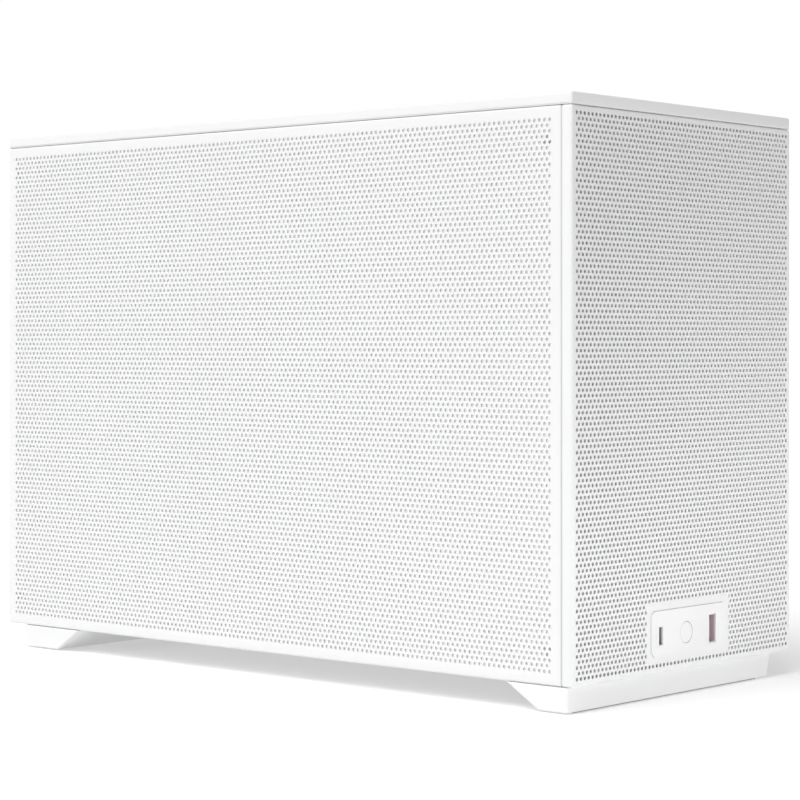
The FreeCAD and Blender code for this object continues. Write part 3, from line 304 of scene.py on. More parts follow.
def copyOf(node):
    # a clean copy of a node: whole flat faces, no loose triangles
    bm = bmesh.new()
    bm.from_mesh(frame["nodes"][node].data)
    bmesh.ops.remove_doubles(bm, verts=bm.verts[:], dist=touching)
    bmesh.ops.dissolve_limit(bm, angle_limit=math.radians(1), verts=bm.verts[:], edges=bm.edges[:])
    return bm


def bevelEdges(bm, edges, offset, segments=2, clamped=False):
    return bmesh.ops.bevel(bm, geom=edges, offset=offset, offset_type="OFFSET", segments=segments, profile=0.5,
                           affect="EDGES", material=-1, clamp_overlap=clamped)["verts"]


def softenEdges(bm, soft):
    sharpAngle = math.radians(40)
    sharp = [edge for edge in bm.edges if len(edge.link_faces) == 2 and edge.calc_face_angle(0) > sharpAngle]
    bevelEdges(bm, sharp, soft, clamped=True)


def uprightEdges(edges, reach):
    # the edges that rise by more than the reach on local Z
    return [edge for edge in edges if abs(edge.verts[0].co.z - edge.verts[1].co.z) > reach]


def carve(bm, cutter):
    # takes the cutter's shape out of a closed shape
    objects = []
    for shape in (bm, cutter):
        mesh = bpy.data.meshes.new("carving")
        shape.to_mesh(mesh)
        shape.free()
        one = bpy.data.objects.new("carving", mesh)
        bpy.context.collection.objects.link(one)
        objects.append(one)
    step = objects[0].modifiers.new("carve", "BOOLEAN")
    step.operation = "DIFFERENCE"
    step.solver = "EXACT"
    step.object = objects[1]
    done = bmesh.new()
    done.from_object(objects[0], bpy.context.evaluated_depsgraph_get())
    for one in objects:
        bpy.data.meshes.remove(one.data)
    return done


def addCopies(bm, pattern, places):
    # puts a small finished shape at each place, then lets the shape go
    mesh = bpy.data.meshes.new("pattern")
    for place in places:
        one = pattern.copy()
        moved(one, place)
        one.to_mesh(mesh)
        one.free()
        bm.from_mesh(mesh)
    bpy.data.meshes.remove(mesh)
    pattern.free()


def addBox(bm, low, high, soft=0.0):
    low, high = Vector(low), Vector(high)
    made = bmesh.ops.create_cube(bm, size=1)["verts"]
    bmesh.ops.scale(bm, verts=made, vec=high - low)
    bmesh.ops.translate(bm, verts=made, vec=(low + high) / 2)
    if soft:
        made = bevelEdges(bm, list({edge for vert in made for edge in vert.link_edges}), soft)
    return made


def addRod(bm, start, end, radius, sides=24, soft=0.0):
    # a closed bar from one point to another, with softened rims
    start, end = Vector(start), Vector(end)
    made = bmesh.ops.create_cone(bm, cap_ends=True, segments=sides, radius1=radius, radius2=radius,
                                 depth=(end - start).length)["verts"]
    if soft:
        rims = [edge for edge in {e for vert in made for e in vert.link_edges}
                if abs(edge.verts[0].co.z - edge.verts[1].co.z) < radius * 0.01]
        bevelled = bevelEdges(bm, rims, soft)
        made = list({vert for one in bevelled for edge in one.link_edges for vert in edge.verts})
    turn = (end - start).to_track_quat("Z", "Y").to_matrix().to_4x4()
    bmesh.ops.transform(bm, verts=made, matrix=Matrix.Translation((start + end) / 2) @ turn)


def spinProfile(bm, points, sides=48):
    # turns an outline of (radius, height) pairs about local Z into a closed shape
    verts = [bm.verts.new((r, 0, h)) for r, h in points]
    edges = [bm.edges.new(pair) for pair in zip(verts, verts[1:])]
    bmesh.ops.spin(bm, geom=verts + edges, cent=(0, 0, 0), axis=(0, 0, 1), angle=math.tau,
                   steps=sides, use_merge=True, use_duplicate=False)


def outward(bm):
    bmesh.ops.remove_doubles(bm, verts=bm.verts[:], dist=touching)
    bmesh.ops.recalc_face_normals(bm, faces=bm.faces[:])


def moved(bm, matrix):
    bmesh.ops.transform(bm, verts=bm.verts[:], matrix=matrix)


def turnsRound(count):
    # equal turns about local Z
    return [Matrix.Rotation(math.tau * number / count, 4, "Z") for number in range(count)]


def axesPlace(right, up, origin):
    # local X and Y lie along two directions, and local Z faces out of them
    right, up = Vector(right), Vector(up)
    turn = Matrix((right, up, right.cross(up))).transposed().to_4x4()
    return Matrix.Translation(origin) @ turn


punch = {
    "pitch": 3.2 * mm, "web": 1.32 * mm, "sheet": 1.0 * mm, "punched": 0.96 * mm, "under": 0.02 * mm,
    "over": 0.3 * mm, "merge": 0.02 * mm, "rowRatio": math.sqrt(0.75),
}


def hexCell(bm, x, y, stepX, stepY, holed):
    # one six-sided cell of the pattern, with or without its hole
    made = bmesh.ops.create_circle(bm, cap_ends=True, segments=6, radius=1)["verts"]
    face = made[0].link_faces[0]
    if holed:
        border = punch["web"] * punch["rowRatio"] / punch["pitch"]
        bmesh.ops.inset_individual(bm, faces=[face], thickness=border, use_even_offset=True)
        ring = {vert for f in face.edges for e in f.link_faces for vert in e.verts} | set(made)
        bmesh.ops.delete(bm, geom=[face], context="FACES_ONLY")
        made = list(ring)
    bmesh.ops.scale(bm, verts=made, vec=(stepX / math.sqrt(3), stepY / 1.5, 1))
    bmesh.ops.translate(bm, verts=made, vec=(x, y, 0))


def cellRow(centres, stepX, stepY, holed):
    bm = bmesh.new()
    for x, isHoled in zip(centres, holed):
        hexCell(bm, x, 0, stepX, stepY, isHoled)
    mesh = bpy.data.meshes.new("row")
    bm.to_mesh(mesh)
    bm.free()
    return mesh


def punchedSheet(width, height, keepOut=None):
    # whole holes only: alternate rows end in a solid cell, and a solid row closes each end
    columns = round(width / punch["pitch"])
    rows = round(height / (punch["pitch"] * punch["rowRatio"]))
    stepX, stepY = width / columns, height / rows
    fullRow = [(number + 0.5) * stepX - width / 2 for number in range(columns)]
    shiftedRow = [number * stepX - width / 2 for number in range(columns + 1)]
    ends = [False] + [True] * (columns - 1) + [False]
    rowMeshes = {
        "full": cellRow(fullRow, stepX, stepY, [True] * columns),
        "shifted": cellRow(shiftedRow, stepX, stepY, ends),
        "fullSolid": cellRow(fullRow, stepX, stepY, [False] * columns),
        "shiftedSolid": cellRow(shiftedRow, stepX, stepY, [False] * (columns + 1)),
    }
    bm = bmesh.new()
    for number in range(-1, rows + 1):
        kind = "full" if number % 2 == 0 else "shifted"
        if number in (-1, rows):
            kind += "Solid"
        before = len(bm.verts)
        bm.from_mesh(rowMeshes[kind])
        bm.verts.ensure_lookup_table()
        bmesh.ops.translate(bm, verts=bm.verts[before:], vec=(0, (number + 0.5) * stepY - height / 2, 0))
    for mesh in rowMeshes.values():
        bpy.data.meshes.remove(mesh)
    bmesh.ops.remove_doubles(bm, verts=bm.verts[:], dist=punch["merge"])
    if keepOut:
        # the cells round the port plate give way to its opening
        low, high = keepOut
        middles = {face: face.calc_center_median() for face in bm.faces}
        gone = [face for face, at in middles.items() if low[0] < at.x < high[0] and low[1] < at.y < high[1]]
        bmesh.ops.delete(bm, geom=gone, context="FACES")
    for normal, size in (((1, 0, 0), width), ((0, 1, 0), height)):
        limit = size / 2 + punch["over"]
        for sign in (-1, 1):
            away = Vector(normal) * sign
            bmesh.ops.bisect_plane(bm, geom=bm.verts[:] + bm.edges[:] + bm.faces[:], plane_co=away * limit,
                                   plane_no=away, clear_outer=True)
    return bm


def thicken(bm, thickness):
    # gives a skin that faces +Z its thickness below it
    bmesh.ops.recalc_face_normals(bm, faces=bm.faces[:])
    if sum(face.normal.z * face.calc_area() for face in bm.faces) < 0:
        bmesh.ops.reverse_faces(bm, faces=bm.faces[:])
    bmesh.ops.solidify(bm, geom=bm.faces[:], thickness=thickness)


def stripOf(bm, low, high):
    # a copy with only the faces between two lines across the sheet
    part = bm.copy()
    gone = [face for face in part.faces if not low <= face.calc_center_median().x < high]
    bmesh.ops.delete(part, geom=gone, context="FACES")
    return part


def foldedTray(width, height, depth, bend, margin):
    # a flat margin with its four sides folded back; the window in it holds the punched sheet
    bm = bmesh.new()
    addBox(bm, (-width / 2, -height / 2, -depth), (width / 2, height / 2, 0))
    back = [face for face in bm.faces if face.normal.z < -0.9]
    front = [face for face in bm.faces if face.normal.z > 0.9]
    bmesh.ops.delete(bm, geom=back, context="FACES")
    bmesh.ops.inset_region(bm, faces=front, thickness=margin, use_even_offset=True)
    bmesh.ops.delete(bm, geom=front, context="FACES")
    rim = []
    for edge in bm.edges:
        one, two = edge.verts
        upright = abs(one.co.z - two.co.z) > depth / 2
        onFront = one.co.z > -depth / 2 and two.co.z > -depth / 2
        outerX = all(abs(abs(vert.co.x) - width / 2) < touching for vert in edge.verts)
        outerY = all(abs(abs(vert.co.y) - height / 2) < touching for vert in edge.verts)
        if upright or (onFront and (outerX or outerY)):
            rim.append(edge)
    bevelEdges(bm, rim, bend, 4)
    bmesh.ops.solidify(bm, geom=bm.faces[:], thickness=punch["sheet"])
    return bm


# radius and height in millimetres, from the stud's plate and from its tip
studShape = {
    "plate": [(0, 0), (2.3, 0), (2.3, -1), (1.6, -1.6)],
    "tip": [(1.6, 4), (2.2, 3.2), (2.5, 2), (2.1, 0.7), (1.2, 0.1), (0, 0)],
}


def studs(places, reach):
    # ball-headed studs that the sockets grip
    stud = bmesh.new()
    outline = [(r * mm, h * mm) for r, h in studShape["plate"]]
    outline += [(r * mm, h * mm - reach) for r, h in studShape["tip"]]
    spinProfile(stud, outline, 20)
    outward(stud)
    bm = bmesh.new()
    addCopies(bm, stud, places)
    return bm


def perforatedPanel(name, width, height, margin, place, parts, keepOut=None):
    drop = Matrix.Translation((0, 0, -punch["under"]))
    whole = punchedSheet(width - 2 * margin, height - 2 * margin, keepOut)
    lines = [(number / parts - 0.5) * width for number in range(parts + 1)]
    for number, (low, high) in enumerate(zip(lines, lines[1:]), 1):
        part = stripOf(whole, low, high)
        thicken(part, punch["punched"])
        moved(part, place @ drop)
        addPiece(f"{name}_mesh_{number}", part, panelPaint, name, smooth=20)
    whole.free()


panels = {
    "fold": 6.0 * mm, "bend": 1.4 * mm, "margin": 5.6 * mm, "parts": 3, "studY": (-197 * mm, 204 * mm),
    "studZ": (30 * mm, 283 * mm), "studReach": 9.5 * mm,
}


def sidePanel(name, side):
    low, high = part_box(name)
    width, height = high.y - low.y, high.z - low.z
    face = low.x if side < 0 else high.x
    middle = Vector((face, (low.y + high.y) / 2, (low.z + high.z) / 2))
    place = axesPlace((0, side, 0), (0, 0, 1), middle)
    tray = foldedTray(width, height, panels["fold"], panels["bend"], panels["margin"])
    moved(tray, place)
    addPiece(f"{name}_tray", tray, panelPaint, name, [name])
    perforatedPanel(name, width, height, panels["margin"], place, panels["parts"])
    places = [axesPlace((0, side, 0), (0, 0, 1), (face - side * punch["sheet"], y, z))
              for y in panels["studY"] for z in panels["studZ"]]
    addPiece(f"{name}_studs", studs(places, panels["studReach"]), screwSteel, name)


sidePanel("left_panel", -1)
print("left panel done")
sidePanel("right_panel", 1)
print("right panel done")

frontValues = {
    "rim": 6.0 * mm, "gap": 0.12 * mm, "margin": 2.6 * mm, "parts": 2, "borderWide": 3.4 * mm, "corner": 3.6 * mm,
    "cornerSteps": 8, "cellReach": 0.6, "through": 2 * mm,
    "studX": (-82 * mm, 82 * mm), "studZ": (34 * mm, 285 * mm), "studReach": 15.4 * mm,
}


def frontPanel():
    low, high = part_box("front_panel")
    width, height = high.x - low.x, high.z - low.z
    middle = Vector(((low.x + high.x) / 2, low.y, (low.z + high.z) / 2))
    place = axesPlace((1, 0, 0), (0, 0, 1), middle)
    plateLow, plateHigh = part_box("io_plate")
    gap = frontValues["gap"] + frontValues["borderWide"] - punch["pitch"] * frontValues["cellReach"]
    keepOut = ((plateLow.x - middle.x - gap, plateLow.z - middle.z - gap),
               (plateHigh.x - middle.x + gap, plateHigh.z - middle.z + gap))
    margin = frontValues["margin"]
    tray = foldedTray(width, height, frontValues["rim"], panels["bend"], margin)
    moved(tray, place)
    addPiece("front_panel_tray", tray, panelPaint, "front_panel", ["front_panel"])
    perforatedPanel("front_panel", width, height, margin, place, frontValues["parts"], keepOut)
    # a plain border closes the cells round the plate's opening
    size = Vector((plateHigh.x - plateLow.x, plateHigh.z - plateLow.z, 0)) / 2
    outer = size + Vector((1, 1, 0)) * (frontValues["gap"] + frontValues["borderWide"])
    inner = size + Vector((1, 1, 0)) * frontValues["gap"]
    border, opening = bmesh.new(), bmesh.new()
    addBox(border, (-outer.x, -outer.y, -punch["sheet"]), (outer.x, outer.y, 0))
    through = frontValues["through"]
    addBox(opening, (-inner.x, -inner.y, -through), (inner.x, inner.y, through))
    bevelEdges(opening, uprightEdges(opening.edges, through), frontValues["corner"], frontValues["cornerSteps"])
    border = carve(border, opening)
    centre = Vector(((plateLow.x + plateHigh.x) / 2, low.y, (plateLow.z + plateHigh.z) / 2))
    moved(border, axesPlace((1, 0, 0), (0, 0, 1), centre))
    addPiece("front_panel_plate_border", border, panelPaint, "front_panel")
    places = [axesPlace((1, 0, 0), (0, 0, 1), (x, low.y + punch["sheet"], z))
              for x in frontValues["studX"] for z in frontValues["studZ"]]
    bm = studs(places, frontValues["studReach"])
    addPiece("front_panel_studs", bm, screwSteel, "front_panel")


frontPanel()
print("front panel done")

coverValues = {
    "rim": 5.5 * mm, "parts": 2, "studX": (-86 * mm, 86 * mm), "studY": (-190 * mm, 195 * mm),
    "studReach": 15.5 * mm,
}


def topCover():
    low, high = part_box("top_cover")
    width, height = high.x - low.x, high.y - low.y
    place = axesPlace((1, 0, 0), (0, 1, 0), ((low.x + high.x) / 2, (low.y + high.y) / 2, high.z))
    tray = foldedTray(width, height, coverValues["rim"], panels["bend"], panels["margin"])
    moved(tray, place)
    addPiece("top_cover_tray", tray, panelPaint, "top_cover", ["top_cover"])
    # the sheet's parts meet across the length
    turned = place @ Matrix.Rotation(math.pi / 2, 4, "Z")
    perforatedPanel("top_cover", height, width, panels["margin"], turned, coverValues["parts"])
    places = [axesPlace((1, 0, 0), (0, 1, 0), (x, y, high.z - punch["sheet"]))
              for x in coverValues["studX"] for y in coverValues["studY"]]
    addPiece("top_cover_studs", studs(places, coverValues["studReach"]), screwSteel, "top_cover")


sealValues = {"inset": 0.35 * mm, "wide": 1.2 * mm, "clear": 0.1 * mm, "overlap": 0.3 * mm, "through": 1 * mm}


def coverSeal():
    # a soft strip on the cover's rim that closes the seam above the panels
    low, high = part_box("top_cover")
    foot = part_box("left_panel")[1].z + sealValues["clear"]
    top = high.z - coverValues["rim"] + sealValues["overlap"]
    outer = Vector((high.x - sealValues["inset"], high.y - sealValues["inset"], top))
    front = low.y + sealValues["inset"]
    inner = outer + Vector((-sealValues["wide"], -sealValues["wide"], sealValues["through"]))
    strip, middle = bmesh.new(), bmesh.new()
    addBox(strip, (-outer.x, front, foot), outer)
    addBox(middle, (-inner.x, front + sealValues["wide"], foot - sealValues["through"]), inner)
    addPiece("top_cover_seal", carve(strip, middle), sealRubber, "top_cover")


topCover()
coverSeal()
print("top cover done")


# each node's softened edge in millimetres and its finish
softened = {
    "front_foot": (0.7, panelPaint), "rear_foot": (0.7, panelPaint), "foot_pads": (0.3, padRubber),
    "io_plate": (0.3, whitePlastic), "power_button": (0.35, whitePlastic), "base_tray": (0.2, chassisPaint),
    "front_frame": (0.2, chassisPaint), "top_frame": (0.2, chassisPaint), "rear_wall": (0.2, chassisPaint),
    "motherboard_tray": (0.2, chassisPaint), "panel_sockets": (0.5, whitePlastic),
    "bottom_filter": (0.4, whitePlastic), "graphics_shroud": (0.9, whitePlastic), "slot_covers": (0.25, chassisPaint),
    "graphics_bracket": (0.25, portSteel), "power_supply_casing": (0.4, chassisPaint),
    "power_supply_bracket": (0.25, chassisPaint), "power_supply_switch": (0.7, blackPlastic),
    "mains_inlet": (0.3, blackPlastic), "rear_port_block": (0.3, whitePlastic),
}
# narrow softened edges stay faceted, so that the flat sheets beside them shade evenly
flatEdges = 20
for node, (soft, finish) in softened.items():
    bm = copyOf(node)
    softenEdges(bm, soft * mm)
    standIn(node, bm, finish, flatEdges)
print("edges softened")


ports = {
    "usb_c_port": {"tongue": -24.7, "half": 0.35, "finish": blackPlastic},
    "usb_a_port": {"tongue": 20.2, "half": 0.9, "finish": portTongueRed},
    "mouth": 0.8, "tongueEnd": 12.2, "slack": 0.05, "soft": 0.08,
}


def usbPort(node):
    # a folded steel shell; the tongue in its mouth has its own plastic
    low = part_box(node)[0]
    values = ports[node]
    bm = copyOf(node)
    for face in bm.faces:
        middle = face.calc_center_median()
        onTongue = abs(middle.x - values["tongue"] * mm) < (values["half"] + ports["slack"]) * mm
        inside = ports["mouth"] * mm < middle.y - low.y < ports["tongueEnd"] * mm
        face.material_index = int(onTongue and inside)
    softenEdges(bm, ports["soft"] * mm)
    standIn(node, bm, (portSteel, values["finish"]))


usbPort("usb_c_port")
usbPort("usb_a_port")
print("front ports done")


screwValues = {
    "bore": 1.5 * mm, "slot": 0.9 * mm, "slotLong": 4.2 * mm, "slotDeep": 1.1 * mm, "over": 1 * mm,
    "head": 4 * mm, "headHigh": 2.3 * mm, "shank": 2 * mm,
    "outline": [(0, 1), (0.55, 1), (0.85, 0.86), (1, 0.5), (1, 0)],
    "slotX": -50, "slotLevels": (101, 80.68, 60.36, 40.04), "fanX": (-86.5, 18.5), "fanLevels": (147.5, 252.5),
}


def crossScrew():
    # a pan head on local Z = 0 with a cross recess, and its shank below
    radius, top, bore = screwValues["head"], screwValues["headHigh"], screwValues["bore"]
    head = bmesh.new()
    outline = [(r * radius, h * top) for r, h in screwValues["outline"]]
    spinProfile(head, outline + [(bore, 0), (bore, -screwValues["shank"]), (0, -screwValues["shank"])], 28)
    outward(head)
    long, wide = screwValues["slotLong"] / 2, screwValues["slot"] / 2
    floor = top - screwValues["slotDeep"]
    for x, y in ((long, wide), (wide, long)):
        cross = bmesh.new()
        addBox(cross, (-x, -y, floor), (x, y, top + screwValues["over"]))
        head = carve(head, cross)
    return head


screwPlaces = [(screwValues["slotX"], level) for level in screwValues["slotLevels"]]
screwPlaces += [(x, z) for x in screwValues["fanX"] for z in screwValues["fanLevels"]]
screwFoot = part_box("rear_screws")[1].y - screwValues["headHigh"]
bm = bmesh.new()
addCopies(bm, crossScrew(), [axesPlace((-1, 0, 0), (0, 0, 1), (x * mm, screwFoot, z * mm)) for x, z in screwPlaces])
standIn("rear_screws", bm, screwSteel)
print("screws done")


caseRotor = {"hub": 19, "tip": 55, "low": 2, "high": 21, "blades": 9, "width": 37, "sweep": 24, "thick": 1.5}
cardRotor = {"hub": 15, "tip": 42, "low": 0, "high": 12, "blades": 11, "width": 32, "sweep": 28, "thick": 1.1}
supplyRotor = {"hub": 19, "tip": 56, "low": 0, "high": 17, "blades": 9, "width": 36, "sweep": 26, "thick": 1.4}


# hub outline: a share of the hub's radius, and millimetres in from it and up from its low face
hubShape = {"crown": 0.86, "brow": 0.96, "browRise": 0.5, "rimRise": 1.8, "wall": 1.5, "floor": 1.9}
bladeShape = {
    "foot": 0.6, "clear": 4, "cutBack": 0.25, "cutAlong": 6, "cutAcross": 3, "sweepPower": 1.4, "flatten": 0.35,
    "cup": 0.12, "alongSteps": 10, "acrossSteps": 6,
}


def bladeOf(values, hub, low, high):
    # one swept and twisted blade, from inside the hub's wall to the tip
    blade = bmesh.new()
    bmesh.ops.create_grid(blade, x_segments=bladeShape["alongSteps"], y_segments=bladeShape["acrossSteps"], size=0.5)
    rise = high - low - bladeShape["clear"] * mm
    foot = hub - bladeShape["foot"] * mm
    for vert in blade.verts:
        along, across = vert.co.x + 0.5, vert.co.y
        radius = foot + (values["tip"] * mm - foot) * along
        cut = along ** bladeShape["cutAlong"] * abs(2 * across) ** bladeShape["cutAcross"]
        corner = 1 - bladeShape["cutBack"] * cut
        angle = math.radians(values["sweep"] * along ** bladeShape["sweepPower"] + values["width"] * across * corner)
        lift = rise * (1 - bladeShape["flatten"] * along) * across
        lift += rise * bladeShape["cup"] * math.cos(math.pi * across)
        vert.co = (radius * math.cos(angle), radius * math.sin(angle), (low + high) / 2 + lift)
    bmesh.ops.recalc_face_normals(blade, faces=blade.faces[:])
    bmesh.ops.solidify(blade, geom=blade.faces[:], thickness=values["thick"] * mm)
    return blade


def fanRotor(node, origin, right, up, values):
    # a cup-shaped hub with blades round it; local Z runs along the axle
    bm = bmesh.new()
    hub, low, high = (values[key] * mm for key in ("hub", "low", "high"))
    inner, floor = hub - hubShape["wall"] * mm, low + hubShape["floor"] * mm
    outline = [(0, low), (hub * hubShape["crown"], low), (hub * hubShape["brow"], low + hubShape["browRise"] * mm)]
    outline += [(hub, low + hubShape["rimRise"] * mm), (hub, high), (inner, high), (inner, floor), (0, floor)]
    spinProfile(bm, outline, 40)
    addCopies(bm, bladeOf(values, hub, low, high), turnsRound(values["blades"]))
    outward(bm)
    moved(bm, axesPlace(right, up, origin))
    standIn(node, bm, fanPlastic, 40)


# each node's own axes, the axis along which its low face is found, and the node that gives that face
rearward, upward, leftward = ((-1, 0, 0), (0, 0, 1), "y"), ((1, 0, 0), (0, 1, 0), "z"), ((0, 1, 0), (0, 0, 1), "x")
rotors = {
    "rear_fan_rotor": (rearward, "rear_fan_frame", caseRotor),
    "cooler_fan_rotor": (rearward, "cooler_fan_frame", caseRotor),
    "top_fan_front_rotor": (upward, "top_fan_front_frame", caseRotor),
    "top_fan_rear_rotor": (upward, "top_fan_rear_frame", caseRotor),
    "graphics_fan_front_rotor": (upward, "graphics_fan_front_rotor", cardRotor),
    "graphics_fan_rear_rotor": (upward, "graphics_fan_rear_rotor", cardRotor),
    "power_supply_fan_rotor": (leftward, "power_supply_fan_rotor", supplyRotor),
}
for rotor, ((right, up, axis), base, values) in rotors.items():
    low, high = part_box(rotor)
    middle = (low + high) / 2
    setattr(middle, axis, getattr(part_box(base)[0], axis))
    fanRotor(rotor, middle, right, up, values)

frameValues = {
    "half": 60, "depth": 25, "bore": 58, "flange": 3.6, "corner": 52.5, "hole": 2.1, "soft": 7, "seat": 20,
    "strut": 1.5, "through": 1, "wall": 1.6, "inset": 0.4, "plate": 3, "back": 0.1, "chamfer": 0.5,
    "strutBack": 0.2, "strutIn": 1, "strutOut": 0.8,
}
strutShape = {"count": 4, "swing": 26, "cuts": 6}


def fanFrame(node, origin, right, up):
    # two square flanges joined by a round duct, with the motor's seat on curved struts at the outlet
    values = {key: number * mm for key, number in frameValues.items()}
    half, depth, bore, seat, through = (values[key] for key in ("half", "depth", "bore", "seat", "through"))
    bm = bmesh.new()
    for low, high in ((0, values["flange"]), (depth - values["flange"], depth)):
        made = addBox(bm, (-half, -half, low), (half, half, high))
        edges = {edge for vert in made for edge in vert.link_edges}
        bevelEdges(bm, uprightEdges(edges, through), values["soft"], 6)
    tools = bmesh.new()
    addRod(tools, (0, 0, -through), (0, 0, depth + through), bore, 72)
    bm = carve(bm, tools)
    for x in (-1, 1):
        for y in (-1, 1):
            tools = bmesh.new()
            at = Vector((x, y, 0)) * values["corner"]
            addRod(tools, at - Vector((0, 0, through)), at + Vector((0, 0, depth + through)), values["hole"], 16)
            bm = carve(bm, tools)
    duct = bmesh.new()
    wall, inset, chamfer = bore + values["wall"], values["inset"], values["chamfer"]
    spinProfile(duct, [(bore, inset), (bore, depth - inset), (wall, depth - inset), (wall, inset), (bore, inset)], 72)
    front, back = depth - values["plate"], depth - values["back"]
    spinProfile(duct, [(0, front), (seat - chamfer, front), (seat, front + chamfer), (seat, depth - chamfer),
                       (seat - chamfer, back), (0, back)], 40)
    outward(duct)
    strut = bmesh.new()
    addBox(strut, (0, -values["strut"], front), (1, values["strut"], depth - values["strutBack"]))
    lengthwise = [edge for edge in strut.edges if abs(edge.verts[0].co.x - edge.verts[1].co.x) > 0.5]
    bmesh.ops.subdivide_edges(strut, edges=lengthwise, cuts=strutShape["cuts"])
    start = seat - values["strutIn"]
    for vert in strut.verts:
        radius = start + vert.co.x * (bore + values["strutOut"] - start)
        swing = math.radians(strutShape["swing"]) * vert.co.x
        along, across = Vector((math.cos(swing), math.sin(swing), 0)), Vector((-math.sin(swing), math.cos(swing), 0))
        vert.co = along * radius + across * vert.co.y + Vector((0, 0, vert.co.z))
    outward(strut)
    addCopies(duct, strut, turnsRound(strutShape["count"]))
    addCopies(bm, duct, [Matrix.Identity(4)])
    moved(bm, axesPlace(right, up, origin))
    standIn(node, bm, fanPlastic)


for right, up, axis, fans in ((*rearward, ("rear_fan", "cooler_fan")), (*upward, ("top_fan_front", "top_fan_rear"))):
    for fan in fans:
        low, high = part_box(f"{fan}_frame")
        middle = (low + high) / 2
        setattr(middle, axis, getattr(low, axis))
        fanFrame(f"{fan}_frame", middle, right, up)
print("fans done")


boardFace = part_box("motherboard")[0].x


def fromBoard(height, along, up):
    # the corners of a box that stands on the board, from sizes in millimetres
    return ((boardFace - height * mm, along[0] * mm, up[0] * mm), (boardFace, along[1] * mm, up[1] * mm))


def socketBox(bm, low, high, wall, deep):
    # a connector body whose mouth faces away from the board
    made = addBox(bm, low, high)
    mouth = [face for face in {f for vert in made for f in vert.link_faces} if face.normal.x < -0.9]
    bmesh.ops.inset_region(bm, faces=mouth, thickness=wall, use_even_offset=True)
    bmesh.ops.inset_region(bm, faces=mouth, thickness=0.05 * mm, depth=-deep, use_even_offset=True)
    for face in mouth:
        face.material_index = 1


# millimetres: height off the board, then the spans along Y and up
connectors = {
    "cardSlots": [(11, (70, 160), (97.3, 104.7)), (11, (121, 160), (36.34, 43.74))],
    "slotMouth": (2.6, 7), "slotLatch": {"rise": 1, "along": (-1.5, 2), "over": 0.5},
    "powerBlocks": [(14, (-37, -27), (165, 217)), (14, (148, 166), (258, 269))],
    "powerLatch": {"high": 0.9, "along": (-1, 0.5), "up": (4, 9)},
    "header": (8, (-20, 4), (31, 36)), "headerBase": 2.5,
    "pins": {"count": 9, "first": 1.5, "pitch": 2.54, "rows": (0.3, 0.7), "half": 0.3},
    "memorySlot": {"first": 57, "pitch": 10, "half": 3.5, "low": 129, "high": 271, "rise": 8.08, "mouth": (2.3, 4),
                   "latch": 4, "latchHalf": 2.5, "latchSpan": (-1, 3)},
}


def boardConnectors():
    bm = bmesh.new()
    wall, deep = connectors["slotMouth"]
    latch = connectors["slotLatch"]
    for height, along, up in connectors["cardSlots"]:
        socketBox(bm, *fromBoard(height, along, up), wall * mm, deep * mm)
        span = [along[0] + offset for offset in latch["along"]]
        addBox(bm, *fromBoard(height + latch["rise"], span, (up[0] - latch["over"], up[1] + latch["over"])), 0.5 * mm)
    latch = connectors["powerLatch"]
    for height, along, up in connectors["powerBlocks"]:
        addBox(bm, *fromBoard(height, along, up), 0.5 * mm)
        spans = [along[0] + offset for offset in latch["along"]], [up[0] + offset for offset in latch["up"]]
        addBox(bm, *fromBoard(height * latch["high"], *spans), 0.3 * mm)
    height, along, up = connectors["header"]
    addBox(bm, *fromBoard(connectors["headerBase"], along, up), 0.3 * mm)
    pins = connectors["pins"]
    for number in range(pins["count"]):
        y = along[0] + pins["first"] + number * pins["pitch"]
        for row in pins["rows"]:
            z = up[0] + row * (up[1] - up[0])
            addBox(bm, *fromBoard(height, (y - pins["half"], y + pins["half"]), (z - pins["half"], z + pins["half"])))
    values = connectors["memorySlot"]
    wall, deep = values["mouth"]
    start, end = values["latchSpan"]
    for number in range(2):
        middle = values["first"] + number * values["pitch"]
        along = (middle - values["half"], middle + values["half"])
        socketBox(bm, *fromBoard(values["rise"], along, (values["low"], values["high"])), wall * mm, deep * mm)
        along = (middle - values["latchHalf"], middle + values["latchHalf"])
        for up in ((values["low"] + start, values["low"] + end), (values["high"] - end, values["high"] - start)):
            addBox(bm, *fromBoard(values["rise"] + values["latch"], along, up), 0.7 * mm)
    outward(bm)
    standIn("board_connectors", bm, (whitePlastic, blackPlastic))


# millimetres; each bar is half its thickness, then how far it stays inside the module's box at the low and
# high ends of X and Z
moduleShape = {
    "edge": (0.65, (6, 0), (0, 0), 0.2), "spreader": (2.9, (4, 3), (1, 1), 0.7),
    "ribs": 5, "ribFirst": 9, "ribPitch": 3.6, "ribWide": 1.6, "ribHalf": 3.35, "ribInset": 8,
    "teeth": 12, "toothInset": 3, "toothGap": 0.8, "toothHalf": 2.2, "toothDeep": 5,
}


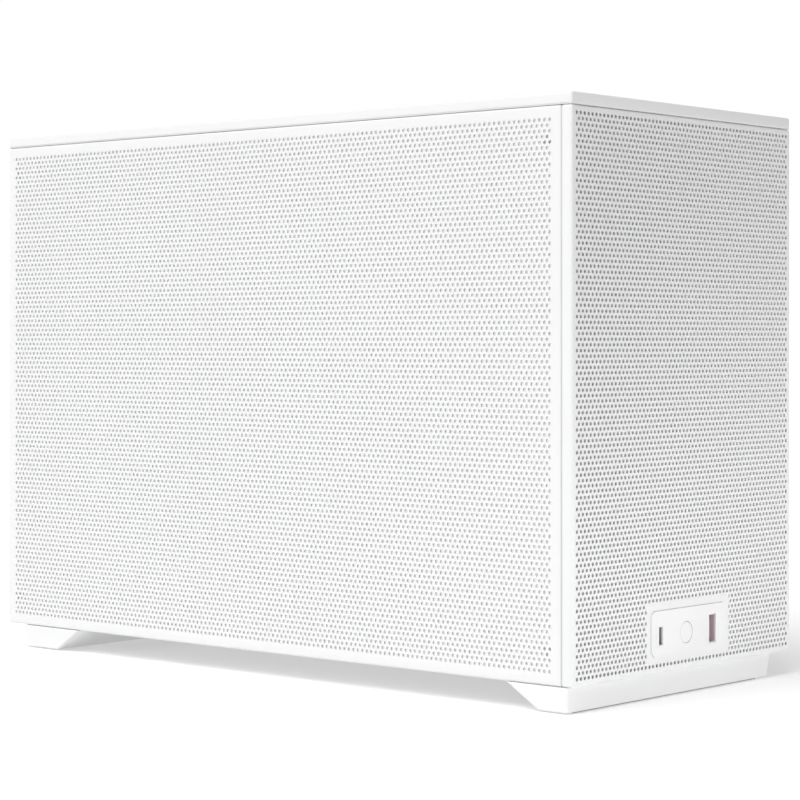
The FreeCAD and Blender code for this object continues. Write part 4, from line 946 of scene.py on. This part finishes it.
def memoryModules():
    # each module: a bare edge in the slot, and a ribbed spreader with a notched crest
    bm = bmesh.new()
    low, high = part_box("memory_modules")
    values, shape = connectors["memorySlot"], moduleShape

    def bar(middle, half, left, right, foot, head, soft):
        addBox(bm, (left, middle - half * mm, foot), (right, middle + half * mm, head), soft)

    for number in range(2):
        middle = (values["first"] + number * values["pitch"]) * mm
        for half, (left, right), (foot, head), soft in (shape["edge"], shape["spreader"]):
            bar(middle, half, low.x + left * mm, high.x - right * mm, low.z + foot * mm, high.z - head * mm,
                soft * mm)
        inset = shape["ribInset"] * mm
        for rib in range(shape["ribs"]):
            x = low.x + (shape["ribFirst"] + rib * shape["ribPitch"]) * mm
            bar(middle, shape["ribHalf"], x, x + shape["ribWide"] * mm, low.z + inset, high.z - inset, 0.3 * mm)
        inset, gap = shape["toothInset"] * mm, shape["toothGap"] * mm
        step = (high.z - low.z - 2 * inset) / shape["teeth"]
        for tooth in range(shape["teeth"]):
            z = low.z + inset + tooth * step
            right = low.x + shape["toothDeep"] * mm
            bar(middle, shape["toothHalf"], low.x, right, z + gap, z + step - gap, 0.5 * mm)
    standIn("memory_modules", bm, coolerMetal)


sinkBlocks = [
    (22, (158, 176), (178, 256), "up"), (22, (72, 142), (246, 262), "along"), (7, (-25, 35), (44, 92), "up"),
]
sinkRibs = {"foot": 0.45, "pitch": 5, "before": 0.5, "after": 1}
driveRibs = {"base": 2, "count": 7, "first": 1.5, "pitch": 2.9, "wide": 1.5, "inset": 2, "deep": 2.5}


def heatSinks():
    # finned blocks: a solid foot with ribs cut down to it
    bm = bmesh.new()
    for height, along, up, run in sinkBlocks:
        addBox(bm, *fromBoard(height * sinkRibs["foot"], along, up), 0.5 * mm)
        span = up if run == "up" else along
        count = round((span[1] - span[0]) / sinkRibs["pitch"])
        step = (span[1] - span[0]) / count
        for number in range(count):
            start = span[0] + number * step
            rib = (start + sinkRibs["before"], start + step - sinkRibs["after"])
            pair = (along, rib) if run == "up" else (rib, up)
            addBox(bm, *fromBoard(height, *pair), 0.4 * mm)
    standIn("board_heat_sinks", bm, coolerMetal)
    bm = bmesh.new()
    low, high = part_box("solid_state_drive")
    addBox(bm, (low.x + driveRibs["base"] * mm, low.y, low.z), high, 0.3 * mm)
    inset = driveRibs["inset"] * mm
    for number in range(driveRibs["count"]):
        z = low.z + (driveRibs["first"] + number * driveRibs["pitch"]) * mm
        addBox(bm, (low.x, low.y + inset, z),
               (low.x + driveRibs["deep"] * mm, high.y - inset, z + driveRibs["wide"] * mm), 0.3 * mm)
    standIn("solid_state_drive", bm, coolerMetal)


# places and sizes on the board in millimetres: along Y, then up
boardLayout = {
    "chokes": [(78, 229), (87.5, 229), (97, 229), (106.5, 229), (116, 229), (125.5, 229), (135, 229), (178.4, 140),
               (178.4, 149.5), (178.4, 159), (178.4, 168.5)],
    "choke": (7.4, 6),
    "capacitors": [(84, 223.5), (93, 223.5), (102, 223.5), (100, 175), (100, 166), (100, 157), (40, 250), (40, 241),
                   (-20, 240), (-20, 231), (160, 60), (169, 60), (178, 60), (187, 60)],
    "capacitor": (3.2, 8),
    "chips": [((-20, -6), (100, 114)), ((166, 175), (78, 87)), ((100, 109), (48, 57)), ((20, 27), (150, 160)),
              ((-15, -8), (180, 190)), ((130, 140), (62, 69)), ((150, 157), (112, 119)), ((60, 66), (70, 78))],
    "chipHigh": 1.3,
    "sockets": [((-37.5, -28), (40, 54)), ((-37.5, -28), (58, 72))],
    "socketHigh": 9,
    "taken": [(108, 162, 172, 228), (70, 160, 92, 108), (120, 160, 34, 46), (-38, -26, 30, 220), (50, 72, 124, 275),
              (-26, 46, 40, 142), (175, 207, 110, 275), (156, 178, 174, 260), (70, 146, 226, 264),
              (146, 168, 256, 272)],
    "small": [(1.6, 0.8), (0.8, 1.6), (2, 1.2), (1.2, 2), (3, 2.6)],
    "smallCount": 170, "smallHigh": 0.8, "smallAlong": (-34, 200), "smallUp": (34, 268),
}


def boardComponents():
    # chokes, capacitors, chips and the small parts between them
    picks = random.Random(7)
    bm = bmesh.new()

    def painted(layer, add, *shape):
        before = set(bm.faces)
        add(bm, *shape)
        for face in set(bm.faces) - before:
            face.material_index = layer

    wide, tall = boardLayout["choke"]
    for y, z in boardLayout["chokes"]:
        painted(1, addBox, *fromBoard(tall, (y, y + wide), (z, z + wide)), 0.7 * mm)
    radius, tall = boardLayout["capacitor"]
    for y, z in boardLayout["capacitors"]:
        foot = Vector((boardFace, y * mm, z * mm))
        painted(2, addRod, foot, foot - Vector((tall * mm, 0, 0)), radius * mm, 20, 0.5 * mm)
    for along, up in boardLayout["chips"]:
        painted(0, addBox, *fromBoard(boardLayout["chipHigh"], along, up), 0.2 * mm)
    for along, up in boardLayout["sockets"]:
        painted(0, addBox, *fromBoard(boardLayout["socketHigh"], along, up), 0.4 * mm)
    placed = 0
    while placed < boardLayout["smallCount"]:
        y, z = picks.uniform(*boardLayout["smallAlong"]), picks.uniform(*boardLayout["smallUp"])
        if any(a < y < b and c < z < d for a, b, c, d in boardLayout["taken"]):
            continue
        wide, tall = picks.choice(boardLayout["small"])
        corners = fromBoard(boardLayout["smallHigh"], (y, y + wide), (z, z + tall))
        painted(picks.choice([0, 1, 2]), addBox, *corners)
        placed += 1
    addPiece("board_components", bm, (blackPlastic, chokeGrey, screwSteel), "chassis")


# millimetres: spans along X, then up
rearPorts = {
    "back": 209.5, "deep": 8, "setBack": 1, "soft": 0.15, "clear": 0.2, "wall": 0.5,
    "stack": [124, 140, 156, 172], "stackHigh": 6, "stackStarts": (32.3, 48.2), "stackWide": 14.4,
    "tongueInset": 1.6, "tongueBelow": (2.8, 1.2), "plainStacks": 2,
    "sockets": [(34, 50, 190, 203), (55, 68, 190, 206)], "socketWall": 0.7,
    "contacts": 6, "contactFirst": 3, "contactShare": 5.5, "contactWide": 0.7, "contactBelow": (3.2, 1.2),
    "screen": (46, 66, 214, 220), "screenInset": 2.2, "screenTongue": (2.2, 3.6),
    "jacks": [232, 246, 260], "jackX": 60, "ring": (1.4, 2.35),
}


def rearFittings():
    # shells, tongues and jack rings inside the port block's mouths
    bm = bmesh.new()
    back, front = rearPorts["back"] * mm, (rearPorts["back"] - rearPorts["deep"]) * mm
    clear, steel, plain, red, gold = rearPorts["clear"], 0, 1, 2, 3

    def fitting(low, high, layer, soft=rearPorts["soft"]):
        before = set(bm.faces)
        end = back if layer == steel else back - rearPorts["setBack"] * mm
        addBox(bm, (low[0] * mm, front, low[1] * mm), (high[0] * mm, end, high[1] * mm), soft * mm)
        for face in set(bm.faces) - before:
            face.material_index = layer

    def shell(left, right, low, high, wall=rearPorts["wall"]):
        fitting((left, low), (left + wall, high), steel)
        fitting((right - wall, low), (right, high), steel)
        fitting((left, low), (right, low + wall), steel)
        fitting((left, high - wall), (right, high), steel)

    for number, low in enumerate(rearPorts["stack"]):
        high = low + rearPorts["stackHigh"]
        tongue = red if number >= rearPorts["plainStacks"] else plain
        under, over = (high - below for below in rearPorts["tongueBelow"])
        for start in rearPorts["stackStarts"]:
            end = start + rearPorts["stackWide"]
            shell(start, end, low + clear, high - clear)
            inset = rearPorts["tongueInset"]
            fitting((start + inset, under), (end - inset, over), tongue)
    for first, last, low, high in rearPorts["sockets"]:
        shell(first + clear, last - clear, low + clear, high - clear, rearPorts["socketWall"])
        under, over = (high - below for below in rearPorts["contactBelow"])
        step = (last - first - 2 * rearPorts["contactFirst"]) / rearPorts["contactShare"]
        for contact in range(rearPorts["contacts"]):
            start = first + rearPorts["contactFirst"] + contact * step
            fitting((start, under), (start + rearPorts["contactWide"], over), gold, 0.05)
    first, last, low, high = rearPorts["screen"]
    shell(first + clear, last - clear, low + clear, high - clear)
    foot, head = (low + rise for rise in rearPorts["screenTongue"])
    fitting((first + rearPorts["screenInset"], foot), (last - rearPorts["screenInset"], head), plain)
    ring = bmesh.new()
    bore, rim = (radius * mm for radius in rearPorts["ring"])
    spinProfile(ring, [(bore, 0), (rim, 0), (rim, back - front), (bore, back - front), (bore, 0)], 24)
    outward(ring)
    addCopies(bm, ring, [axesPlace((-1, 0, 0), (0, 0, 1), (rearPorts["jackX"] * mm, front, z * mm))
                         for z in rearPorts["jacks"]])
    addPiece("rear_port_fittings", bm, (portSteel, blackPlastic, portTongueRed, contactGold), "chassis")


boardConnectors()
memoryModules()
heatSinks()
boardComponents()
rearFittings()
print("board parts done")


# millimetres from the card's box
plateShape = {"inset": 1, "backInset": 12, "thick": 1.4, "slots": 9, "first": 20, "pitch": 8, "wide": 3.2, "left": 20,
              "right": 40, "through": (-1, 3)}
ribShape = {"levels": (10, 18, 26), "along": (16, 150), "out": 0.9, "in": 0.5, "tall": 2.2,
            "underStarts": (-68, 74), "underLong": 104, "underAcross": (8, 12), "underOut": 0.7, "underIn": 0.4}


def cardTrim():
    # a stamped plate over the card's board, and raised ribs along its outer side and its underside
    low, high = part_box("graphics_board")
    inset, backInset = plateShape["inset"] * mm, plateShape["backInset"] * mm
    bm = bmesh.new()
    addBox(bm, (low.x + inset, low.y + inset, high.z),
           (high.x - backInset, high.y - backInset, high.z + plateShape["thick"] * mm), 0.5 * mm)
    foot, head = (high.z + level * mm for level in plateShape["through"])
    for number in range(plateShape["slots"]):
        y = low.y + (plateShape["first"] + number * plateShape["pitch"]) * mm
        tool = bmesh.new()
        addBox(tool, (low.x + plateShape["left"] * mm, y, foot),
               (high.x - plateShape["right"] * mm, y + plateShape["wide"] * mm, head))
        bm = carve(bm, tool)
    addPiece("graphics_back_plate", bm, chassisPaint, "chassis")
    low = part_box("graphics_shroud")[0]
    bm = bmesh.new()
    start, end = (low.y + y * mm for y in ribShape["along"])
    for level in ribShape["levels"]:
        z = low.z + level * mm
        addBox(bm, (low.x - ribShape["out"] * mm, start, z),
               (low.x + ribShape["in"] * mm, end, z + ribShape["tall"] * mm), 0.5 * mm)
    left, right = (low.x + x * mm for x in ribShape["underAcross"])
    for y in ribShape["underStarts"]:
        addBox(bm, (left, y * mm, low.z - ribShape["underOut"] * mm),
               (right, (y + ribShape["underLong"]) * mm, low.z + ribShape["underIn"] * mm), 0.3 * mm)
    addPiece("graphics_shroud_ribs", bm, fanPlastic, "chassis")


cardTrim()
print("card trim done")


finishes = {
    circuitBoard: ["io_board", "motherboard"],
    cardBoard: ["graphics_board"],
    dustNet: ["left_dust_net", "right_dust_net", "top_dust_net"],
    # the front net's darker grey is painted shade in the front holes
    frontNetPaintedShade: ["front_dust_net"],
    portSteel: ["processor_and_socket"],
    screwSteel: ["standoffs", "board_screws", "power_supply_fan_guard"],
    coolerMetal: ["cooler_base_and_pipes", "cooler_fins", "graphics_heat_sink"],
    leadRubber: ["mains_lead"],
    braidedSleeve: ["power_cables", "front_io_cable"],
}
for material, names in finishes.items():
    for name in names:
        node = frame["nodes"][name]
        node.data.materials.clear()
        node.data.materials.append(material)
print("carried-over nodes finished")


def stageFloor():
    bm = bmesh.new()
    bmesh.ops.create_grid(bm, x_segments=1, y_segments=1, size=studio["floorHalf"])
    mesh = bpy.data.meshes.new("floor")
    bm.to_mesh(mesh)
    bm.free()
    floor = bpy.data.objects.new("floor", mesh)
    bpy.context.collection.objects.link(floor)
    material, _, shader = startMaterial("floorWhite", [studio["floorWhite"]] * 3, studio["floorRoughness"])
    shader.inputs["Emission Color"].default_value = (1, 1, 1, 1)
    shader.inputs["Emission Strength"].default_value = studio["floorGlow"]
    mesh.materials.append(material)


studio = {
    "skyMiddle": 0.45, "skySlope": 0.3, "skySeen": 1.02, "sun": 2.38, "sunFrom": (-0.375, 0.02, 0.64),
    "sunAngle": 50, "floorGlow": 0.3, "floorWhite": 0.7, "floorRoughness": 0.9, "floorHalf": 60,
    "low": {"place": (0, -0.47, 0.03), "aim": (0, -0.2, 0.03), "size": (0.5, 0.04), "power": 0.34},
}


def lampOf(name, light, place, away):
    lamp = bpy.data.objects.new(name, light)
    bpy.context.collection.objects.link(lamp)
    lamp.location = place
    lamp.rotation_euler = Vector(away).to_track_quat("Z", "Y").to_euler()
    lamp.visible_camera = False


stageFloor()
sun = bpy.data.lights.new("softSun", "SUN")
sun.energy = studio["sun"]
sun.angle = math.radians(studio["sunAngle"])
lampOf("softSun", sun, (0, 0, 3), studio["sunFrom"])
low = studio["low"]
strip = bpy.data.lights.new("lowStrip", "AREA")
strip.shape = "RECTANGLE"
strip.size, strip.size_y = low["size"]
strip.energy = low["power"]
lampOf("lowStrip", strip, low["place"], Vector(low["place"]) - Vector(low["aim"]))


def skyLight():
    # the sky is dimmer towards the front; the camera sees plain white
    world = bpy.data.worlds.new("studio")
    bpy.context.scene.world = world
    world.use_nodes = True
    nodes, links = world.node_tree.nodes, world.node_tree.links
    sky = nodes["Background"]
    sky.inputs["Color"].default_value = (1, 1, 1, 1)
    direction = nodes.new("ShaderNodeTexCoord")
    parts = nodes.new("ShaderNodeSeparateXYZ")
    links.new(direction.outputs["Generated"], parts.inputs["Vector"])
    level = nodes.new("ShaderNodeMapRange")
    level.inputs["From Min"].default_value = -1
    level.inputs["To Min"].default_value = studio["skyMiddle"] - studio["skySlope"]
    level.inputs["To Max"].default_value = studio["skyMiddle"] + studio["skySlope"]
    links.new(parts.outputs["Y"], level.inputs["Value"])
    links.new(level.outputs["Result"], sky.inputs["Strength"])
    seen = nodes.new("ShaderNodeBackground")
    seen.inputs["Color"].default_value = (1, 1, 1, 1)
    seen.inputs["Strength"].default_value = studio["skySeen"]
    ray, either = nodes.new("ShaderNodeLightPath"), nodes.new("ShaderNodeMixShader")
    links.new(ray.outputs["Is Camera Ray"], either.inputs["Fac"])
    links.new(sky.outputs["Background"], either.inputs[1])
    links.new(seen.outputs["Background"], either.inputs[2])
    links.new(either.outputs["Shader"], nodes["World Output"].inputs["Surface"])


skyLight()
view = {"place": (-1.0509, -0.9354, 0.1835), "towards": (0.7521, 0.6591, 0), "lens": 109.7, "shiftY": -0.074}
camera = bpy.data.objects.new("camera", bpy.data.cameras.new("camera"))
bpy.context.collection.objects.link(camera)
camera.location = view["place"]
camera.rotation_euler = Vector(view["towards"]).to_track_quat("-Z", "Y").to_euler()
camera.data.lens = view["lens"]
camera.data.shift_y = view["shiftY"]
bpy.context.scene.camera = camera
bpy.context.scene.view_settings.view_transform = "Standard"
print("studio ready")
